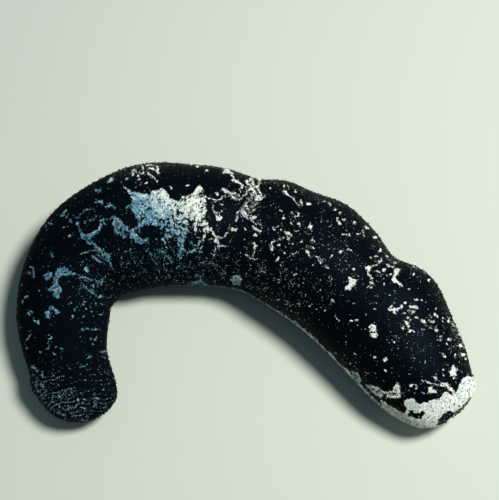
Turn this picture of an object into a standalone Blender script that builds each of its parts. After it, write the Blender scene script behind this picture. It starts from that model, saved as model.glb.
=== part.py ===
"""A black sea cucumber, Holothuria atra, at life size, lying bent on its flat sole.

The body is a soft sausage. Its middle line is drawn in plan, and cross-sections with an arched back
and a flat sole stand on it. Thin upright cuts part it into five lengths, from the mouth end to the
vent end. Twenty feeding tentacles hang from an oral disc, in a shallow hollow under the mouth end.
Metres, +Z up. The floor is at Z = 0, and the origin lies on it, under the middle of the model's box.

Two coordinates place everything on the body. Distance runs along the middle line from the mouth
end's tip. Round angle is 0 at the middle of the back, positive on the outer side of the bend, and
180 degrees at the middle of the sole.
"""

import math

import bmesh
import bpy
import numpy as np
from mathutils import Vector

MM = 0.001

# Driving dimensions of the body
BODY_LENGTH = 317.5 * MM  # along the middle line, tip to tip
MOUTH_TIP = Vector((-77.7, -65.4, 0)) * MM  # the point on the floor under the mouth end's tip
HEIGHT_PER_WIDTH = 0.76
EQUATOR_SHARE = 0.42  # the level of the widest place, as a share of the height
SOLE_DROP = 0.05  # the section's curve would reach this share of the height under the floor

# Heading of the middle line in plan, in degrees from +X, at shares of the length
HEADINGS = {
    0.00: 97,
    0.12: 107,
    0.22: 74.5,
    0.32: 33,
    0.42: 1,
    0.52: -9,
    0.64: -30.5,
    0.76: -47,
    0.88: -54.5,
    1.00: -54.5,
}
# Half the body's width, in millimetres, at shares of the length
HALF_WIDTHS = {
    0.00: 21.0,
    0.06: 21.0,
    0.14: 22.7,
    0.24: 26.2,
    0.34: 32.8,
    0.44: 32.5,
    0.55: 30.2,
    0.66: 32.2,
    0.77: 31.0,
    0.88: 28.2,
    0.95: 25.7,
    1.00: 25.7,
}
# Local swells and waists of the body wall:
# share of the length, round angle in degrees, rise in mm, reach along in mm, reach round in degrees
SWELLS = {
    "outer_lip": (0.075, 85, 1.6, 6, 45),
    "inner_lip": (0.028, -85, 1.3, 5, 45),
    "neck_waist": (0.09, -80, -3.5, 14, 45),
    "inner_crease": (0.205, -80, -1.1, 7, 40),
    "outer_slack": (0.335, 60, -3.1, 14, 45),
    "front_shoulder": (0.50, 60, 1.1, 10, 45),
    "upper_dent": (0.548, 65, -1.0, 4, 40),
    "upper_shoulder": (0.588, 65, 1.8, 7, 40),
    "hind_crest": (0.665, 65, 1.9, 9, 45),
    "rear_dip": (0.755, 60, -4.5, 9, 45),
    "rear_shoulder": (0.822, 60, 4.8, 17, 50),
    "outer_heel": (0.985, 85, 3.4, 5, 45),
    "inner_heel": (0.985, -75, 2.0, 5, 45),
}

# The two domed ends: how far each takes to round off, and how square the rounding is
MOUTH_DOME = 24 * MM
VENT_DOME = 34 * MM
DOME_POWER = 2.2

# Under the mouth end the body wall is lifted off the floor, fully at the mouth, and eases down behind it
MOUTH_LIFT = 6.5 * MM
LIFT_FULL_AT = 29 * MM
LIFT_ENDS_AT = 42 * MM

# Where each length of the body ends, as a distance from the mouth end's tip
LENGTHS = {
    "mouth_end": 46 * MM,
    "fore_trunk": 110 * MM,
    "mid_trunk": 180 * MM,
    "hind_trunk": 252 * MM,
    "vent_end": BODY_LENGTH,
}
CUT = 0.4 * MM  # the width of the thin cuts between them

# How finely the body wall is faceted
RING_POINTS = 36
RING_SPACING = 4 * MM
DOME_RINGS = 7

# The puckered vent at the rear tip: distance in from the tip, and radius, of each ring going in
VENT_FUNNEL = ((0.3 * MM, 4.2 * MM), (2.0 * MM, 2.8 * MM), (4.5 * MM, 1.4 * MM))
VENT_DEPTH = 5.5 * MM

# The mouth's hollow is the top of a ball, and the oral disc is the top of a slightly smaller one
MOUTH_AT = 17.5 * MM
HOLLOW_RADIUS = 11.5 * MM
HOLLOW_TOP = 11.8 * MM
HOLLOW_GAP = 0.4 * MM
HOLLOW_SIDES = 28
HOLLOW_STEPS = 7
ORAL_DISC_FACE = 8.8 * MM  # height of the disc's flat underside

# The tentacles stand in two rings of ten, turned half a step against each other. Each leans out from
# its root in the oral disc to a round shield at its tip, just over the floor.
TENTACLES_PER_RING = 10
TENTACLE_SIDES = 8
TENTACLE_ROOT_HEIGHT = 9.2 * MM
STALK_RADIUS = 0.75 * MM
# Each ring's radius at the roots, its radius at the tips, and the radius of a shield
TENTACLE_RINGS = ((5.6 * MM, 8.7 * MM, 2.0 * MM), (3.3 * MM, 5.0 * MM, 1.4 * MM))
# A tentacle's profile: height over the floor, and radius as a share of the shield's
SHIELD_PROFILE = ((1.0 * MM, 0.8), (1.35 * MM, 1.0), (1.8 * MM, 0.85), (2.4 * MM, 0.5))
SHIELD_TIP = 0.9 * MM
STALK_FOOT = 3.2 * MM

# Colours are linear
SKIN_COLOUR = (0.008, 0.008, 0.009)
SKIN_ROUGHNESS = 0.55
TENTACLE_COLOUR = (0.011, 0.010, 0.010)
TENTACLE_ROUGHNESS = 0.45
SHARP_EDGE = math.radians(50)


def eased(table, share):
    """A smooth curve through a table of share: value, by Hermite pieces, level at both ends."""
    keys = np.array(list(table))
    values = np.array(list(table.values()), float)
    slopes = np.gradient(values, keys)
    slopes[[0, -1]] = 0
    i = min(max(int(np.searchsorted(keys, share, side="right")) - 1, 0), len(keys) - 2)
    step = keys[i + 1] - keys[i]
    t = min(max((share - keys[i]) / step, 0), 1)
    first = values[i] * (1 + 2 * t) * (1 - t) ** 2 + slopes[i] * step * t * (1 - t) ** 2
    second = values[i + 1] * t * t * (3 - 2 * t) - slopes[i + 1] * step * t * t * (1 - t)
    return float(first + second)


def smooth_step(t):
    t = min(max(t, 0), 1)
    return t * t * (3 - 2 * t)


def middle_line():
    """Distances along the middle line, with the plan position and heading at each.

    The position is the running sum of short steps, each taken along the heading there.
    """
    distances = np.linspace(0, BODY_LENGTH, 1001)
    headings = np.radians([eased(HEADINGS, d / BODY_LENGTH) for d in distances])
    halfway = (headings[1:] + headings[:-1]) / 2
    x = MOUTH_TIP.x + np.concatenate([[0], np.cumsum(np.cos(halfway))]) * distances[1]
    y = MOUTH_TIP.y + np.concatenate([[0], np.cumsum(np.sin(halfway))]) * distances[1]
    return distances, x, y, headings


MIDDLE_LINE = middle_line()


def plan_place(distance):
    """The floor point under the middle line there, and the directions ahead and to the outer side."""
    distances, x, y, headings = MIDDLE_LINE
    heading = float(np.interp(distance, distances, headings))
    point = Vector((np.interp(distance, distances, x), np.interp(distance, distances, y), 0))
    ahead = Vector((math.cos(heading), math.sin(heading), 0))
    outward = Vector((-math.sin(heading), math.cos(heading), 0))
    return point, ahead, outward


def half_width_at(distance):
    return eased(HALF_WIDTHS, distance / BODY_LENGTH) * MM


def height_at(distance):
    return 2 * HEIGHT_PER_WIDTH * half_width_at(distance)


def axis_point(distance):
    """The point over the middle line, at the level where the body is widest."""
    return plan_place(distance)[0] + Vector((0, 0, EQUATOR_SHARE * height_at(distance)))


def dome_share(distance):
    """How much of the full section is left at that distance: 1 along the trunk, 0 at the tips."""
    share = 1.0
    for from_tip, dome in ((distance, MOUTH_DOME), (BODY_LENGTH - distance, VENT_DOME)):
        left = min(max(1 - from_tip / dome, 0), 1)
        share *= (1 - left**DOME_POWER) ** (1 / DOME_POWER)
    return share


def swell_rise(distance, angle):
    """How far the named swells push the body wall out, as a sum of round bumps."""
    rise = 0.0
    for share, round_angle, height, reach, reach_round in SWELLS.values():
        along = (distance - share * BODY_LENGTH) / (reach * MM)
        turned = (math.degrees(angle) - round_angle + 180) % 360 - 180
        rise += height * MM * math.exp(-(along**2) - (turned / reach_round) ** 2)
    return rise


def wall_point(distance, angle, dome):
    """A point of the body wall.

    The back is a half ellipse over the equator. The underside is a half ellipse below it, which the
    floor cuts off flat. Both shrink towards the middle by the dome share.
    """
    point, _, outward = plan_place(distance)
    height = height_at(distance)
    equator = EQUATOR_SHARE * height
    lift = smooth_step((LIFT_ENDS_AT - distance) / (LIFT_ENDS_AT - LIFT_FULL_AT))
    back = height - equator
    under = equator - lift * MOUTH_LIFT + (1 - lift) * SOLE_DROP * height
    rise = swell_rise(distance, angle)
    up = math.cos(angle)
    sideways = (half_width_at(distance) + rise) * math.sin(angle) * dome
    level = equator + ((back if up > 0 else under) + rise) * up * dome
    return point + outward * sideways + Vector((0, 0, max(level, 0)))


def wall_ring(distance, dome=None, shift=0.0):
    """The points of one ring round the body, moved ahead by shift."""
    if dome is None:
        dome = dome_share(distance)
    move = plan_place(distance)[1] * shift
    turns = np.linspace(0, 2 * math.pi, RING_POINTS, endpoint=False)
    return [wall_point(distance, angle, dome) + move for angle in turns]


def level_ring(centre, radius, sides):
    """The points of a level circle."""
    turns = np.linspace(0, 2 * math.pi, sides, endpoint=False)
    return [centre + Vector((math.cos(turn), math.sin(turn), 0)) * radius for turn in turns]


def add_loft(bm, rings, first_tip=None, last_tip=None):
    """A closed body through rings of points, with a fan to a tip, or a flat face, at each end."""
    loops = []
    for ring in rings:
        corners = [bm.verts.new(point) for point in ring]
        loops.append([bm.edges.new((corners[i - 1], corners[i])) for i in range(len(corners))])
    for first, second in zip(loops, loops[1:]):
        bmesh.ops.bridge_loops(bm, edges=first + second)
    for loop, tip in ((loops[0], first_tip), (loops[-1], last_tip)):
        if tip is None:
            bm.faces.new([edge.verts[0] for edge in loop])
            continue
        corner = bm.verts.new(tip)
        for edge in loop:
            bm.faces.new((*edge.verts, corner))


def object_from(name, bm):
    """An object made from a bmesh, with its faces turned outwards and shaded smooth."""
    bmesh.ops.recalc_face_normals(bm, faces=bm.faces)
    mesh = bpy.data.meshes.new(name)
    bm.to_mesh(mesh)
    bm.free()
    mesh.shade_smooth()
    mesh.set_sharp_from_angle(angle=SHARP_EDGE)
    made = bpy.data.objects.new(name, mesh)
    bpy.context.scene.collection.objects.link(made)
    return made


def give_material(made, colour, roughness):
    material = bpy.data.materials.new(made.name)
    material.use_nodes = True
    shader = material.node_tree.nodes["Principled BSDF"]
    shader.inputs["Base Color"].default_value = (*colour, 1)
    shader.inputs["Roughness"].default_value = roughness
    shader.inputs["Metallic"].default_value = 0
    made.data.materials.append(material)


def give_boolean(made, operation, other):
    """Cuts or joins an object with another, which is hidden as a guide."""
    other.hide_render = True
    other.display_type = "WIRE"
    modifier = made.modifiers.new(operation.lower(), "BOOLEAN")
    modifier.operation = operation
    modifier.solver = "EXACT"
    modifier.object = other


def dome_distances(dome):
    """Distances in from a tip, close together at the tip, where the wall turns fastest."""
    steps = (np.arange(DOME_RINGS) + 0.5) / DOME_RINGS
    return list(dome * (1 - np.cos(math.pi / 2 * steps)))


def body_length(name, start, end):
    """One length of the body, between flat upright cuts, or closed at a tip of the body."""
    at_mouth = start == 0
    at_vent = end == BODY_LENGTH
    first = MOUTH_DOME if at_mouth else start
    last = BODY_LENGTH - VENT_DOME if at_vent else end
    distances = np.linspace(first, last, max(2, round((last - first) / RING_SPACING) + 1))
    rings = [wall_ring(first, shift=0 if at_mouth else CUT / 2)]
    rings += [wall_ring(d) for d in distances[1:-1]]
    rings.append(wall_ring(last, shift=0 if at_vent else -CUT / 2))
    tips = [None, None]
    if at_mouth:
        rings = [wall_ring(d) for d in dome_distances(MOUTH_DOME)] + rings
        tips[0] = axis_point(0)
    if at_vent:
        rings += [wall_ring(BODY_LENGTH - d) for d in reversed(dome_distances(VENT_DOME)[1:])]
        for inset, radius in VENT_FUNNEL:
            distance = BODY_LENGTH - inset
            rings.append(wall_ring(distance, dome=radius / half_width_at(distance)))
        tips[1] = axis_point(BODY_LENGTH - VENT_DEPTH)
    bm = bmesh.new()
    add_loft(bm, rings, *tips)
    made = object_from(name, bm)
    give_material(made, SKIN_COLOUR, SKIN_ROUGHNESS)
    return made


def ball_top(name, radius, bottom):
    """The part of the mouth's ball over a height, with its own radius, as a closed flat-bottomed dome."""
    centre = plan_place(MOUTH_AT)[0] + Vector((0, 0, HOLLOW_TOP - HOLLOW_RADIUS))
    lowest = math.asin((bottom - centre.z) / radius)
    climbs = np.linspace(lowest, math.pi / 2, HOLLOW_STEPS, endpoint=False)
    rings = [
        level_ring(centre + Vector((0, 0, math.sin(climb))) * radius, math.cos(climb) * radius, HOLLOW_SIDES)
        for climb in climbs
    ]
    bm = bmesh.new()
    add_loft(bm, rings, last_tip=centre + Vector((0, 0, radius)))
    return object_from(name, bm)


def tentacle_rings(turn, root_radius, tip_radius, shield_radius):
    """The rings of one tentacle, tip first. Its middle leans out evenly from the root to the tip."""
    mouth = plan_place(MOUTH_AT)[0]
    outward = Vector((math.cos(turn), math.sin(turn), 0))

    def middle(height):
        share = (TENTACLE_ROOT_HEIGHT - height) / (TENTACLE_ROOT_HEIGHT - SHIELD_TIP)
        reach = root_radius + (tip_radius - root_radius) * share
        return mouth + outward * reach + Vector((0, 0, height))

    radii = [(height, share * shield_radius) for height, share in SHIELD_PROFILE]
    radii += [(STALK_FOOT, STALK_RADIUS), (TENTACLE_ROOT_HEIGHT, STALK_RADIUS)]
    rings = [level_ring(middle(height), radius, TENTACLE_SIDES) for height, radius in radii]
    return rings, middle(SHIELD_TIP)


def tentacle_crown():
    """The oral disc and its tentacles, joined into one body, clear of the hollow that holds them."""
    crown = ball_top("tentacle_crown", HOLLOW_RADIUS - HOLLOW_GAP, ORAL_DISC_FACE)
    bm = bmesh.new()
    step = 2 * math.pi / TENTACLES_PER_RING
    for row, (root_radius, tip_radius, shield_radius) in enumerate(TENTACLE_RINGS):
        for i in range(TENTACLES_PER_RING):
            turn = (i + row / 2) * step
            rings, tip = tentacle_rings(turn, root_radius, tip_radius, shield_radius)
            add_loft(bm, rings, first_tip=tip)
    give_boolean(crown, "UNION", object_from("tentacle_guide", bm))
    give_material(crown, TENTACLE_COLOUR, TENTACLE_ROUGHNESS)
    return crown


def build():
    for old in list(bpy.data.objects):
        bpy.data.objects.remove(old, do_unlink=True)
    start = 0
    made = {}
    for name, end in LENGTHS.items():
        made[name] = body_length(name, start, end)
        start = end
    give_boolean(made["mouth_end"], "DIFFERENCE", ball_top("mouth_hollow", HOLLOW_RADIUS, HOLLOW_GAP))
    tentacle_crown()


build()
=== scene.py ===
"""The looks of a life-size black sea cucumber, Holothuria atra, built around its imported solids.

One skin stands for the five solid lengths of the body. Real grains of sand lie on it, in the patches,
threads and specks that the photograph shows. Under it are the tube feet, and the feeding tentacles.

Three kinds of place are used. Points are in metres in the frame, +Z up. Body places are a distance
along the middle line from the mouth end's tip and a round angle, 0 at the middle of the back and
positive on the outer side of the bend. Picture places are pixels of the photograph's 499 by 500
frame, which the camera's own perspective lays on the body.
"""

import functools
import itertools
import math
from dataclasses import dataclass, fields

import bmesh
import bpy
import numpy as np
from bpy.props import FloatProperty, FloatVectorProperty, PointerProperty
from mathutils import Matrix, Vector


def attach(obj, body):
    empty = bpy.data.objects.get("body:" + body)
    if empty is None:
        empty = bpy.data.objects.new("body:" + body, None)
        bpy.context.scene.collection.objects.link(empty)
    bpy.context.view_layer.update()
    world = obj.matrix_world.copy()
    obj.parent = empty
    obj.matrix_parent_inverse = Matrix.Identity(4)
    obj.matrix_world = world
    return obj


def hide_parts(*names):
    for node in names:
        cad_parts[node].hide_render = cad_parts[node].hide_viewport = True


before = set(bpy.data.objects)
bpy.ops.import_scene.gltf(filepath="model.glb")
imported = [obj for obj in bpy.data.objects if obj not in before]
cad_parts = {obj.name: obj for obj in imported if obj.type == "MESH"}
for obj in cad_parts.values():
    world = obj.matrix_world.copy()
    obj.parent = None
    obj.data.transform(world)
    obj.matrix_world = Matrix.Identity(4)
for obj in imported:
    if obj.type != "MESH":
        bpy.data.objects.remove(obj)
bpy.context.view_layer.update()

bl_info = {
    "name": "Black Sea Cucumber",
    "version": (1, 0, 0),
    "blender": (4, 5, 0),
    "location": "3D View > Sidebar > Sea Cucumber",
    "description": "Builds the skin, sand, tube feet and tentacles of a life-size black sea cucumber",
    "category": "Add Mesh",
}

MM = 0.001
BODY = "root"
BODY_NODES = ("mouth_end", "fore_trunk", "mid_trunk", "hind_trunk", "vent_end")
CROWN_NODE = "tentacle_crown"
BAKE_MAP = "OFBake"
PATCH_RADIUS = 0.0015  # half the width of one grain's patch on the bake map
MOST_TRIANGLES = 199000  # in one piece
# Seeds of the random draws, for the places and the grains of close sand, and the other small pieces
CLOSE_SEED = 100
CLOSE_GRAIN_SEED = 200
SPECK_SEED = 300
PAPILLA_SEED = 401
FOOT_SEED = 402


# The body's form, with the same driving dimensions as its solids

BODY_LENGTH = 317.5 * MM
MOUTH_TIP = (-77.7 * MM, -65.4 * MM)
HEIGHT_PER_WIDTH = 0.76
EQUATOR_SHARE = 0.42
SOLE_DROP = 0.05
# Heading of the middle line in plan, in degrees from +X, at shares of the length
HEADINGS = {
    0.00: 97,
    0.12: 107,
    0.22: 74.5,
    0.32: 33,
    0.42: 1,
    0.52: -9,
    0.64: -30.5,
    0.76: -47,
    0.88: -54.5,
    1.00: -54.5,
}
# Half the body's width, in millimetres, at shares of the length
HALF_WIDTHS = {
    0.00: 21.0,
    0.06: 21.0,
    0.14: 22.7,
    0.24: 26.2,
    0.34: 32.8,
    0.44: 32.5,
    0.55: 30.2,
    0.66: 32.2,
    0.77: 31.0,
    0.88: 28.2,
    0.95: 25.7,
    1.00: 25.7,
}
# Share of the length, round angle in degrees, rise in mm, reach along in mm, reach round in degrees
SWELLS = {
    "outer_lip": (0.075, 85, 1.6, 6, 45),
    "inner_lip": (0.028, -85, 1.3, 5, 45),
    "neck_waist": (0.09, -80, -3.5, 14, 45),
    "inner_crease": (0.205, -80, -1.1, 7, 40),
    "outer_slack": (0.335, 60, -3.1, 14, 45),
    "front_shoulder": (0.50, 60, 1.1, 10, 45),
    "upper_dent": (0.548, 65, -1.0, 4, 40),
    "upper_shoulder": (0.588, 65, 1.8, 7, 40),
    "hind_crest": (0.665, 65, 1.9, 9, 45),
    "rear_dip": (0.755, 60, -4.5, 9, 45),
    "rear_shoulder": (0.822, 60, 4.8, 17, 50),
    "outer_heel": (0.985, 85, 3.4, 5, 45),
    "inner_heel": (0.985, -75, 2.0, 5, 45),
}
MOUTH_DOME = 24 * MM
VENT_DOME = 34 * MM
DOME_POWER = 2.2
MOUTH_LIFT = 6.5 * MM
LIFT_FULL_AT = 29 * MM
LIFT_ENDS_AT = 42 * MM
# Distance in from the rear tip, and radius, of the puckered vent
VENT_FUNNEL = ((0.3 * MM, 4.2 * MM), (2.0 * MM, 2.8 * MM), (4.5 * MM, 1.4 * MM))
VENT_DEPTH = 5.5 * MM
# The mouth's hollow is the top of a ball
MOUTH_AT = 17.5 * MM
HOLLOW_RADIUS = 11.5 * MM
HOLLOW_TOP = 11.8 * MM
HOLLOW_LIP = 0.8 * MM  # the rounding of the hollow's edge

# How finely the skin is drawn: rings close together near the mouth end, wider along the trunk
SKIN_COLUMNS = 194
END_SPACING = 0.47 * MM
TRUNK_SPACING = 0.765 * MM
FINE_END = 55 * MM
LINE_STEPS = 1000  # of the running sum along the middle line
PROFILE_POINTS = 6000  # and of the one over the skin's profile

WRAP_RADIUS = 28 * MM  # patterns lie on a straight tube of this radius, so that they close round it
SOLE_DEPTH = 0.9 * MM  # how much higher than the coat's depth the skin stands over the sole's feet
SOLE_EDGE = 2.5 * MM

# Ring furrows: their spacing near the mouth end and along the trunk
END_FURROWS = 2.8 * MM
TRUNK_FURROWS = 5.5 * MM
FURROWS_WIDEN = (40 * MM, 90 * MM)
# How deep they are on the back, and how much deeper by the mouth, on the inner side and by the vent
FURROW_STRENGTH = (0.22, 0.78, 0.5, 0.3)
FURROWS_BY_MOUTH = (75 * MM, 40 * MM)
FURROWS_BY_VENT = (300 * MM, 325 * MM)
# Middle and reach of the deep furrows on the inner side of the bend
INNER_FURROWS = (135 * MM, 60 * MM)
# The noises that bend the furrows: size, seed, and pull as a share of the spacing
FURROW_BENDS = ((13 * MM, 11, 0.55), (4.5 * MM, 12, 0.16))
VENT_FOLDS = 10
VENT_FOLD_DEPTH = 0.6 * MM
VENT_FOLD_REACH = 11 * MM
# The skin's lumps, dimples and grain: depth, size across, and seed of the noise
SKIN_RELIEF = ((0.12 * MM, 12 * MM, 21), (0.07 * MM, 3.6 * MM, 22), (0.04 * MM, 1.7 * MM, 23))

# The tentacles, in two rings of ten: radius at the roots, radius at the tips, and radius of a shield
TENTACLES_PER_RING = 10
TENTACLE_RINGS = ((5.6 * MM, 8.7 * MM, 2.0 * MM), (3.3 * MM, 5.0 * MM, 1.4 * MM))
STALK_RADIUS = 0.75 * MM
# A tentacle's rings, from the tip: height in mm, share of the shield's radius, and depth of its lobes
SHIELD = (
    (1.0, 0, 0), (0.96, 0.35, 0.06), (0.9, 0.7, 0.14), (1.05, 0.96, 0.2), (1.35, 1.03, 0.2),
    (1.7, 0.92, 0.16), (2.1, 0.62, 0.1), (2.6, 0.42, 0.03), (3.2, 0, 0), (6.2, 0, 0), (9.4, 0, 0),
    (9.8, 0, 0),
)
STALK_SWELL = (0.9, 1.0, 1.15, 0)  # the stalk's four rings, as shares of its radius
SHIELD_LOBES = 7
SHIELD_SIDES = 42
# The oral disc's rings, from the mouth out and over: height and radius in mm, and depth of its puckers
ORAL_DISC = (
    (10.4, 0, 0), (9.9, 0.9, 0.12), (8.9, 1.6, 0.1), (8.35, 2.3, 0.06), (8.6, 3.2, 0.03), (8.75, 5.6, 0.01),
    (8.85, 7.2, 0.01), (9.3, 7.9, 0.02), (10.3, 7.0, 0.02), (11.3, 4.5, 0), (11.9, 0, 0),
)
DISC_PUCKERS = 20
DISC_SIDES = 160
CROWN_MAP_WIDTH = 2.4 * HOLLOW_RADIUS  # the width that fills the bake map
THIRD_WAVE = 0.35  # how strongly a wave of a third the length sharpens the lobes and puckers

# Papillae on the back, and tube feet under the sole: height and radius of each ring in mm, tip first
PAPILLA_ROOM = 3.3 * MM
PAPILLA_SCALES = (0.5, 1.0)
PAPILLA_PROFILE = ((0.62, 0), (0.54, 0.17), (0.28, 0.33), (-0.15, 0.50), (-0.2, 0))
PAPILLA_SIDES = 7
PAPILLAE_DOWN_TO = -0.35  # the upward part of the skin's normal below which there are none
FOOT_ROOM = 1.9 * MM
FOOT_BAND = math.radians(18)
FOOT_PROFILE = ((0.04, 0), (0.0, 0.34), (0.06, 0.50), (0.22, 0.46), (0.40, 0.28), (1.0, 0.36), (1.0, 0))
FOOT_SIDES = 6
FOOT_BAND_SHARE = 0.12  # how many feet stand between the bands, against 1 within them
FOOT_SCALES = (0.8, 1.15)
FOOT_ROOT_DEPTH = 0.3 * MM  # into the skin
SOLE_FROM = -0.9  # the upward part of the normal below which skin counts as sole
SOLE_REACH = 1.6 * MM  # how high over the floor the sole's skin counts as sole


# The camera, which also lays picture places on the body

PICTURE_SIZE = (499, 500)
CAMERA_ELEVATION = math.radians(68)
CAMERA_DISTANCE = 620 * MM
CAMERA_AIM = np.array((3.44, 22.48, 20.0)) * MM
CAMERA_LENS = 88.05  # mm, on a sensor as wide as the picture
CAMERA_SENSOR = 36.0
CAMERA_RIGHT = np.array((1.0, 0.0, 0.0))
CAMERA_UP = np.array((0, math.sin(CAMERA_ELEVATION), math.cos(CAMERA_ELEVATION)))
CAMERA_AHEAD = np.array((0, math.cos(CAMERA_ELEVATION), -math.sin(CAMERA_ELEVATION)))
CAMERA_PLACE = CAMERA_AIM - CAMERA_AHEAD * CAMERA_DISTANCE


# The floor and the light

FLOOR_HALF_WIDTH = 6.0
FLOOR_COLOUR = "#aeb5a6"
SKY_COLOUR = "#b2d1e5"
SKY_STRENGTH = 0.26
KEY_WAY = (0.42, 0.06, 0.90)  # from the middle of the floor to the key light
KEY_DISTANCE = 1.2
KEY_WIDTH = 0.32
KEY_POWER = 23  # watts


# Where sand lies, read from the photograph: picture places, one x and y after another

# The pale saddle over the front of the back: its outline
SADDLE = (
    123, 186, 126, 187.5, 130, 190, 133, 192, 137, 193, 140, 193.5, 145, 193, 149, 194, 151, 193, 152, 191,
    154, 190, 158, 189.5, 162, 189, 165, 190.5, 168, 194, 170, 198, 173, 200, 177, 201.5, 180, 201.5,
    181.5, 197, 187, 196, 190, 195, 193, 193, 196, 190, 198, 187, 200, 184.5, 202, 187, 203, 190, 202, 194,
    203, 196, 205, 199, 206, 204, 207, 209, 206.5, 213, 205, 216, 205, 219, 207, 223, 210, 226, 212.5, 228,
    212, 231, 208, 232, 206, 234, 205, 238, 203.5, 238, 204, 234, 203, 231, 202, 228, 200, 225.5, 197, 227,
    196, 232, 194, 233, 194, 228, 192, 227, 189, 229, 188, 233, 185, 236, 184, 241, 183, 246, 185, 251,
    182, 251, 182, 258, 179, 259, 178, 254, 180, 250, 178, 246, 178, 241, 177, 237, 174, 236, 170, 237,
    168, 241, 165.5, 243, 163, 241, 161, 240, 163, 236, 163, 231, 161, 229, 157, 227, 155, 225, 151, 225,
    146, 224, 142, 227, 140, 227, 138, 225, 138, 220, 136, 218, 134, 215, 132, 212, 131, 208, 125, 207.5,
    128, 205, 132, 204, 132, 199, 131, 196, 128, 193, 126, 190,
)
# Where the saddle is thin: middle, half sizes, and the share of its thickness that stays
THIN_SADDLE = (
    (141, 213, 10, 11, 0.74), (178, 230, 26, 14, 0.60), (172, 212, 8, 6, 0.8), (165, 224, 9, 6, 0.7),
    (190, 222, 10, 6, 0.75), (203, 216, 4, 14, 0.85), (142, 200, 14, 5, 0.86), (194, 203, 11, 11, 0.86),
)
# Smaller patches, as outlines
PATCHES = (
    # The mouth end's arm
    (43, 275.5, 46, 273, 49, 271.5, 52, 272, 53, 274, 53.5, 276.5, 51, 278, 48, 280, 45, 279.5, 44.5, 277),
    (
        55, 276, 56, 272, 57.5, 269.5, 60, 267.5, 64, 267, 68, 268.5, 70, 271, 72, 273, 75, 274, 79, 275.5,
        75, 276, 71, 275.5, 65, 275.5, 61, 276, 58, 278, 57.5, 281, 58, 284, 60, 287, 62, 289.5, 61.5, 292,
        60, 294, 59.5, 297, 58, 299, 55.5, 298.5, 55, 297, 52, 296, 54, 293.5, 55, 291.5, 50, 291.5,
        46.5, 290, 49, 288, 51, 285.5, 54, 284.5, 53.5, 281, 52.5, 278, 53, 276,
    ),
    (84.5, 270, 85.5, 267, 87.5, 265.5, 89, 268, 88.5, 271.5, 88, 273, 86.5, 272, 85, 271),
    (
        45, 311.5, 48, 310.5, 49.5, 310, 50, 307, 52, 305.5, 54.5, 307, 56, 310, 58.5, 310, 59, 312,
        57, 314, 55.5, 314, 55, 311, 53, 309.5, 51, 309.5, 50, 311, 51, 313.5, 49.5, 315, 50, 318.5,
        48, 319, 46, 317, 44.5, 313.5,
    ),
    (28, 311, 30, 309.5, 32, 311, 33, 313, 31.5, 314, 30, 315, 28.5, 314.5),
    # The long chain on the outer side of the front bend
    (
        81, 232, 84, 234, 87, 234.5, 91, 233, 94, 231, 97, 230, 99, 228, 99.5, 225, 99.5, 221.5, 101, 219,
        103.5, 218, 105, 219.5, 105, 223, 106, 225.5, 103, 225, 101.5, 227, 101, 230, 98, 232.5, 95, 234.5,
        92.5, 236.5, 91, 238.5, 93, 241.5, 96, 245, 98, 248, 96, 248.5, 93.5, 245, 91.5, 244.5, 90, 245.5,
        87, 243, 84, 240, 81, 237.5,
    ),
    (
        112.5, 218, 117, 217, 120, 220, 123, 224, 127, 227, 129, 229.5, 127, 231, 124, 230, 125, 234,
        127, 236, 124, 238.5, 121, 236.5, 117, 233.5, 114, 229, 113.5, 225, 112, 221.5, 114, 221,
    ),
    (97, 247, 101, 249, 105, 252, 109, 255, 110.5, 259, 108.5, 262, 106, 258, 103, 254.5, 99, 251),
    # The inner edge of the bend
    (190, 284, 194, 282, 199, 281, 200, 277, 202, 281, 205, 282, 209, 286, 200, 289, 192, 288),
    (230, 280, 233, 276, 239, 275, 242, 279, 240, 285, 233, 285),
    (352, 371.5, 356, 371, 359, 375, 361.5, 380, 360, 383, 356, 380, 353, 377),
    # The rear arm
    (
        348.5, 278.5, 350, 276.5, 352, 277.5, 353.5, 279.5, 356.5, 279.5, 357, 281.5, 355.5, 284,
        354.5, 286.5, 352, 287, 351, 290, 349.5, 291, 347, 289.5, 344.5, 288.5, 345, 286.5, 348.5, 285,
        349, 282,
    ),
    (
        394, 271.5, 396, 268, 400, 269, 401, 270, 399, 272, 397, 275, 395, 278, 397, 279.5, 398.5, 280.5,
        400, 282.5, 402, 284.5, 402.5, 286.5, 399, 284, 395, 282, 392.5, 281, 392, 278.5, 393.5, 275,
    ),
    (
        367.5, 326.5, 369, 325, 372, 324.3, 375, 325.3, 376.3, 328, 376, 332, 377, 334.5, 377, 337,
        375, 338.3, 373, 338, 370.5, 335.5, 369, 334, 371, 333, 369.5, 331, 369.8, 328, 368, 327.5,
    ),
    (449, 374, 450, 370, 452, 367, 454, 365.5, 456, 367, 458, 370, 456, 372, 456, 376, 450, 376),
    (365, 384, 372, 385.5, 380, 388.5, 386, 392, 381, 398, 374, 394, 369, 389),
    (392, 391, 395, 385, 397, 382.5, 399, 386, 400, 391, 401, 397, 395, 398, 387, 397.5, 386, 392),
    (432, 377, 437, 377, 437, 380, 434, 380),
    (428, 388, 432, 387, 434, 390, 437, 390, 437, 394, 431, 393, 428, 391),
    (440, 382, 446, 382.5, 450, 386, 453.5, 389.5, 454.5, 394, 450.5, 392, 447, 387.5, 441, 386),
)
# Where a fine net of sand lies, as outlines
NETS = (
    (
        246, 185, 252, 183, 258, 186, 262, 191, 264, 198, 260, 203, 254, 205, 249, 202, 245, 196, 243, 190,
    ),
    (246, 202, 250, 208, 252, 214, 250, 220, 245, 219, 241, 215, 237, 219, 235, 214, 240, 208),
    (222, 187, 228, 189, 233, 194, 240, 197, 238, 201, 231, 199, 225, 194),
)
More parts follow.
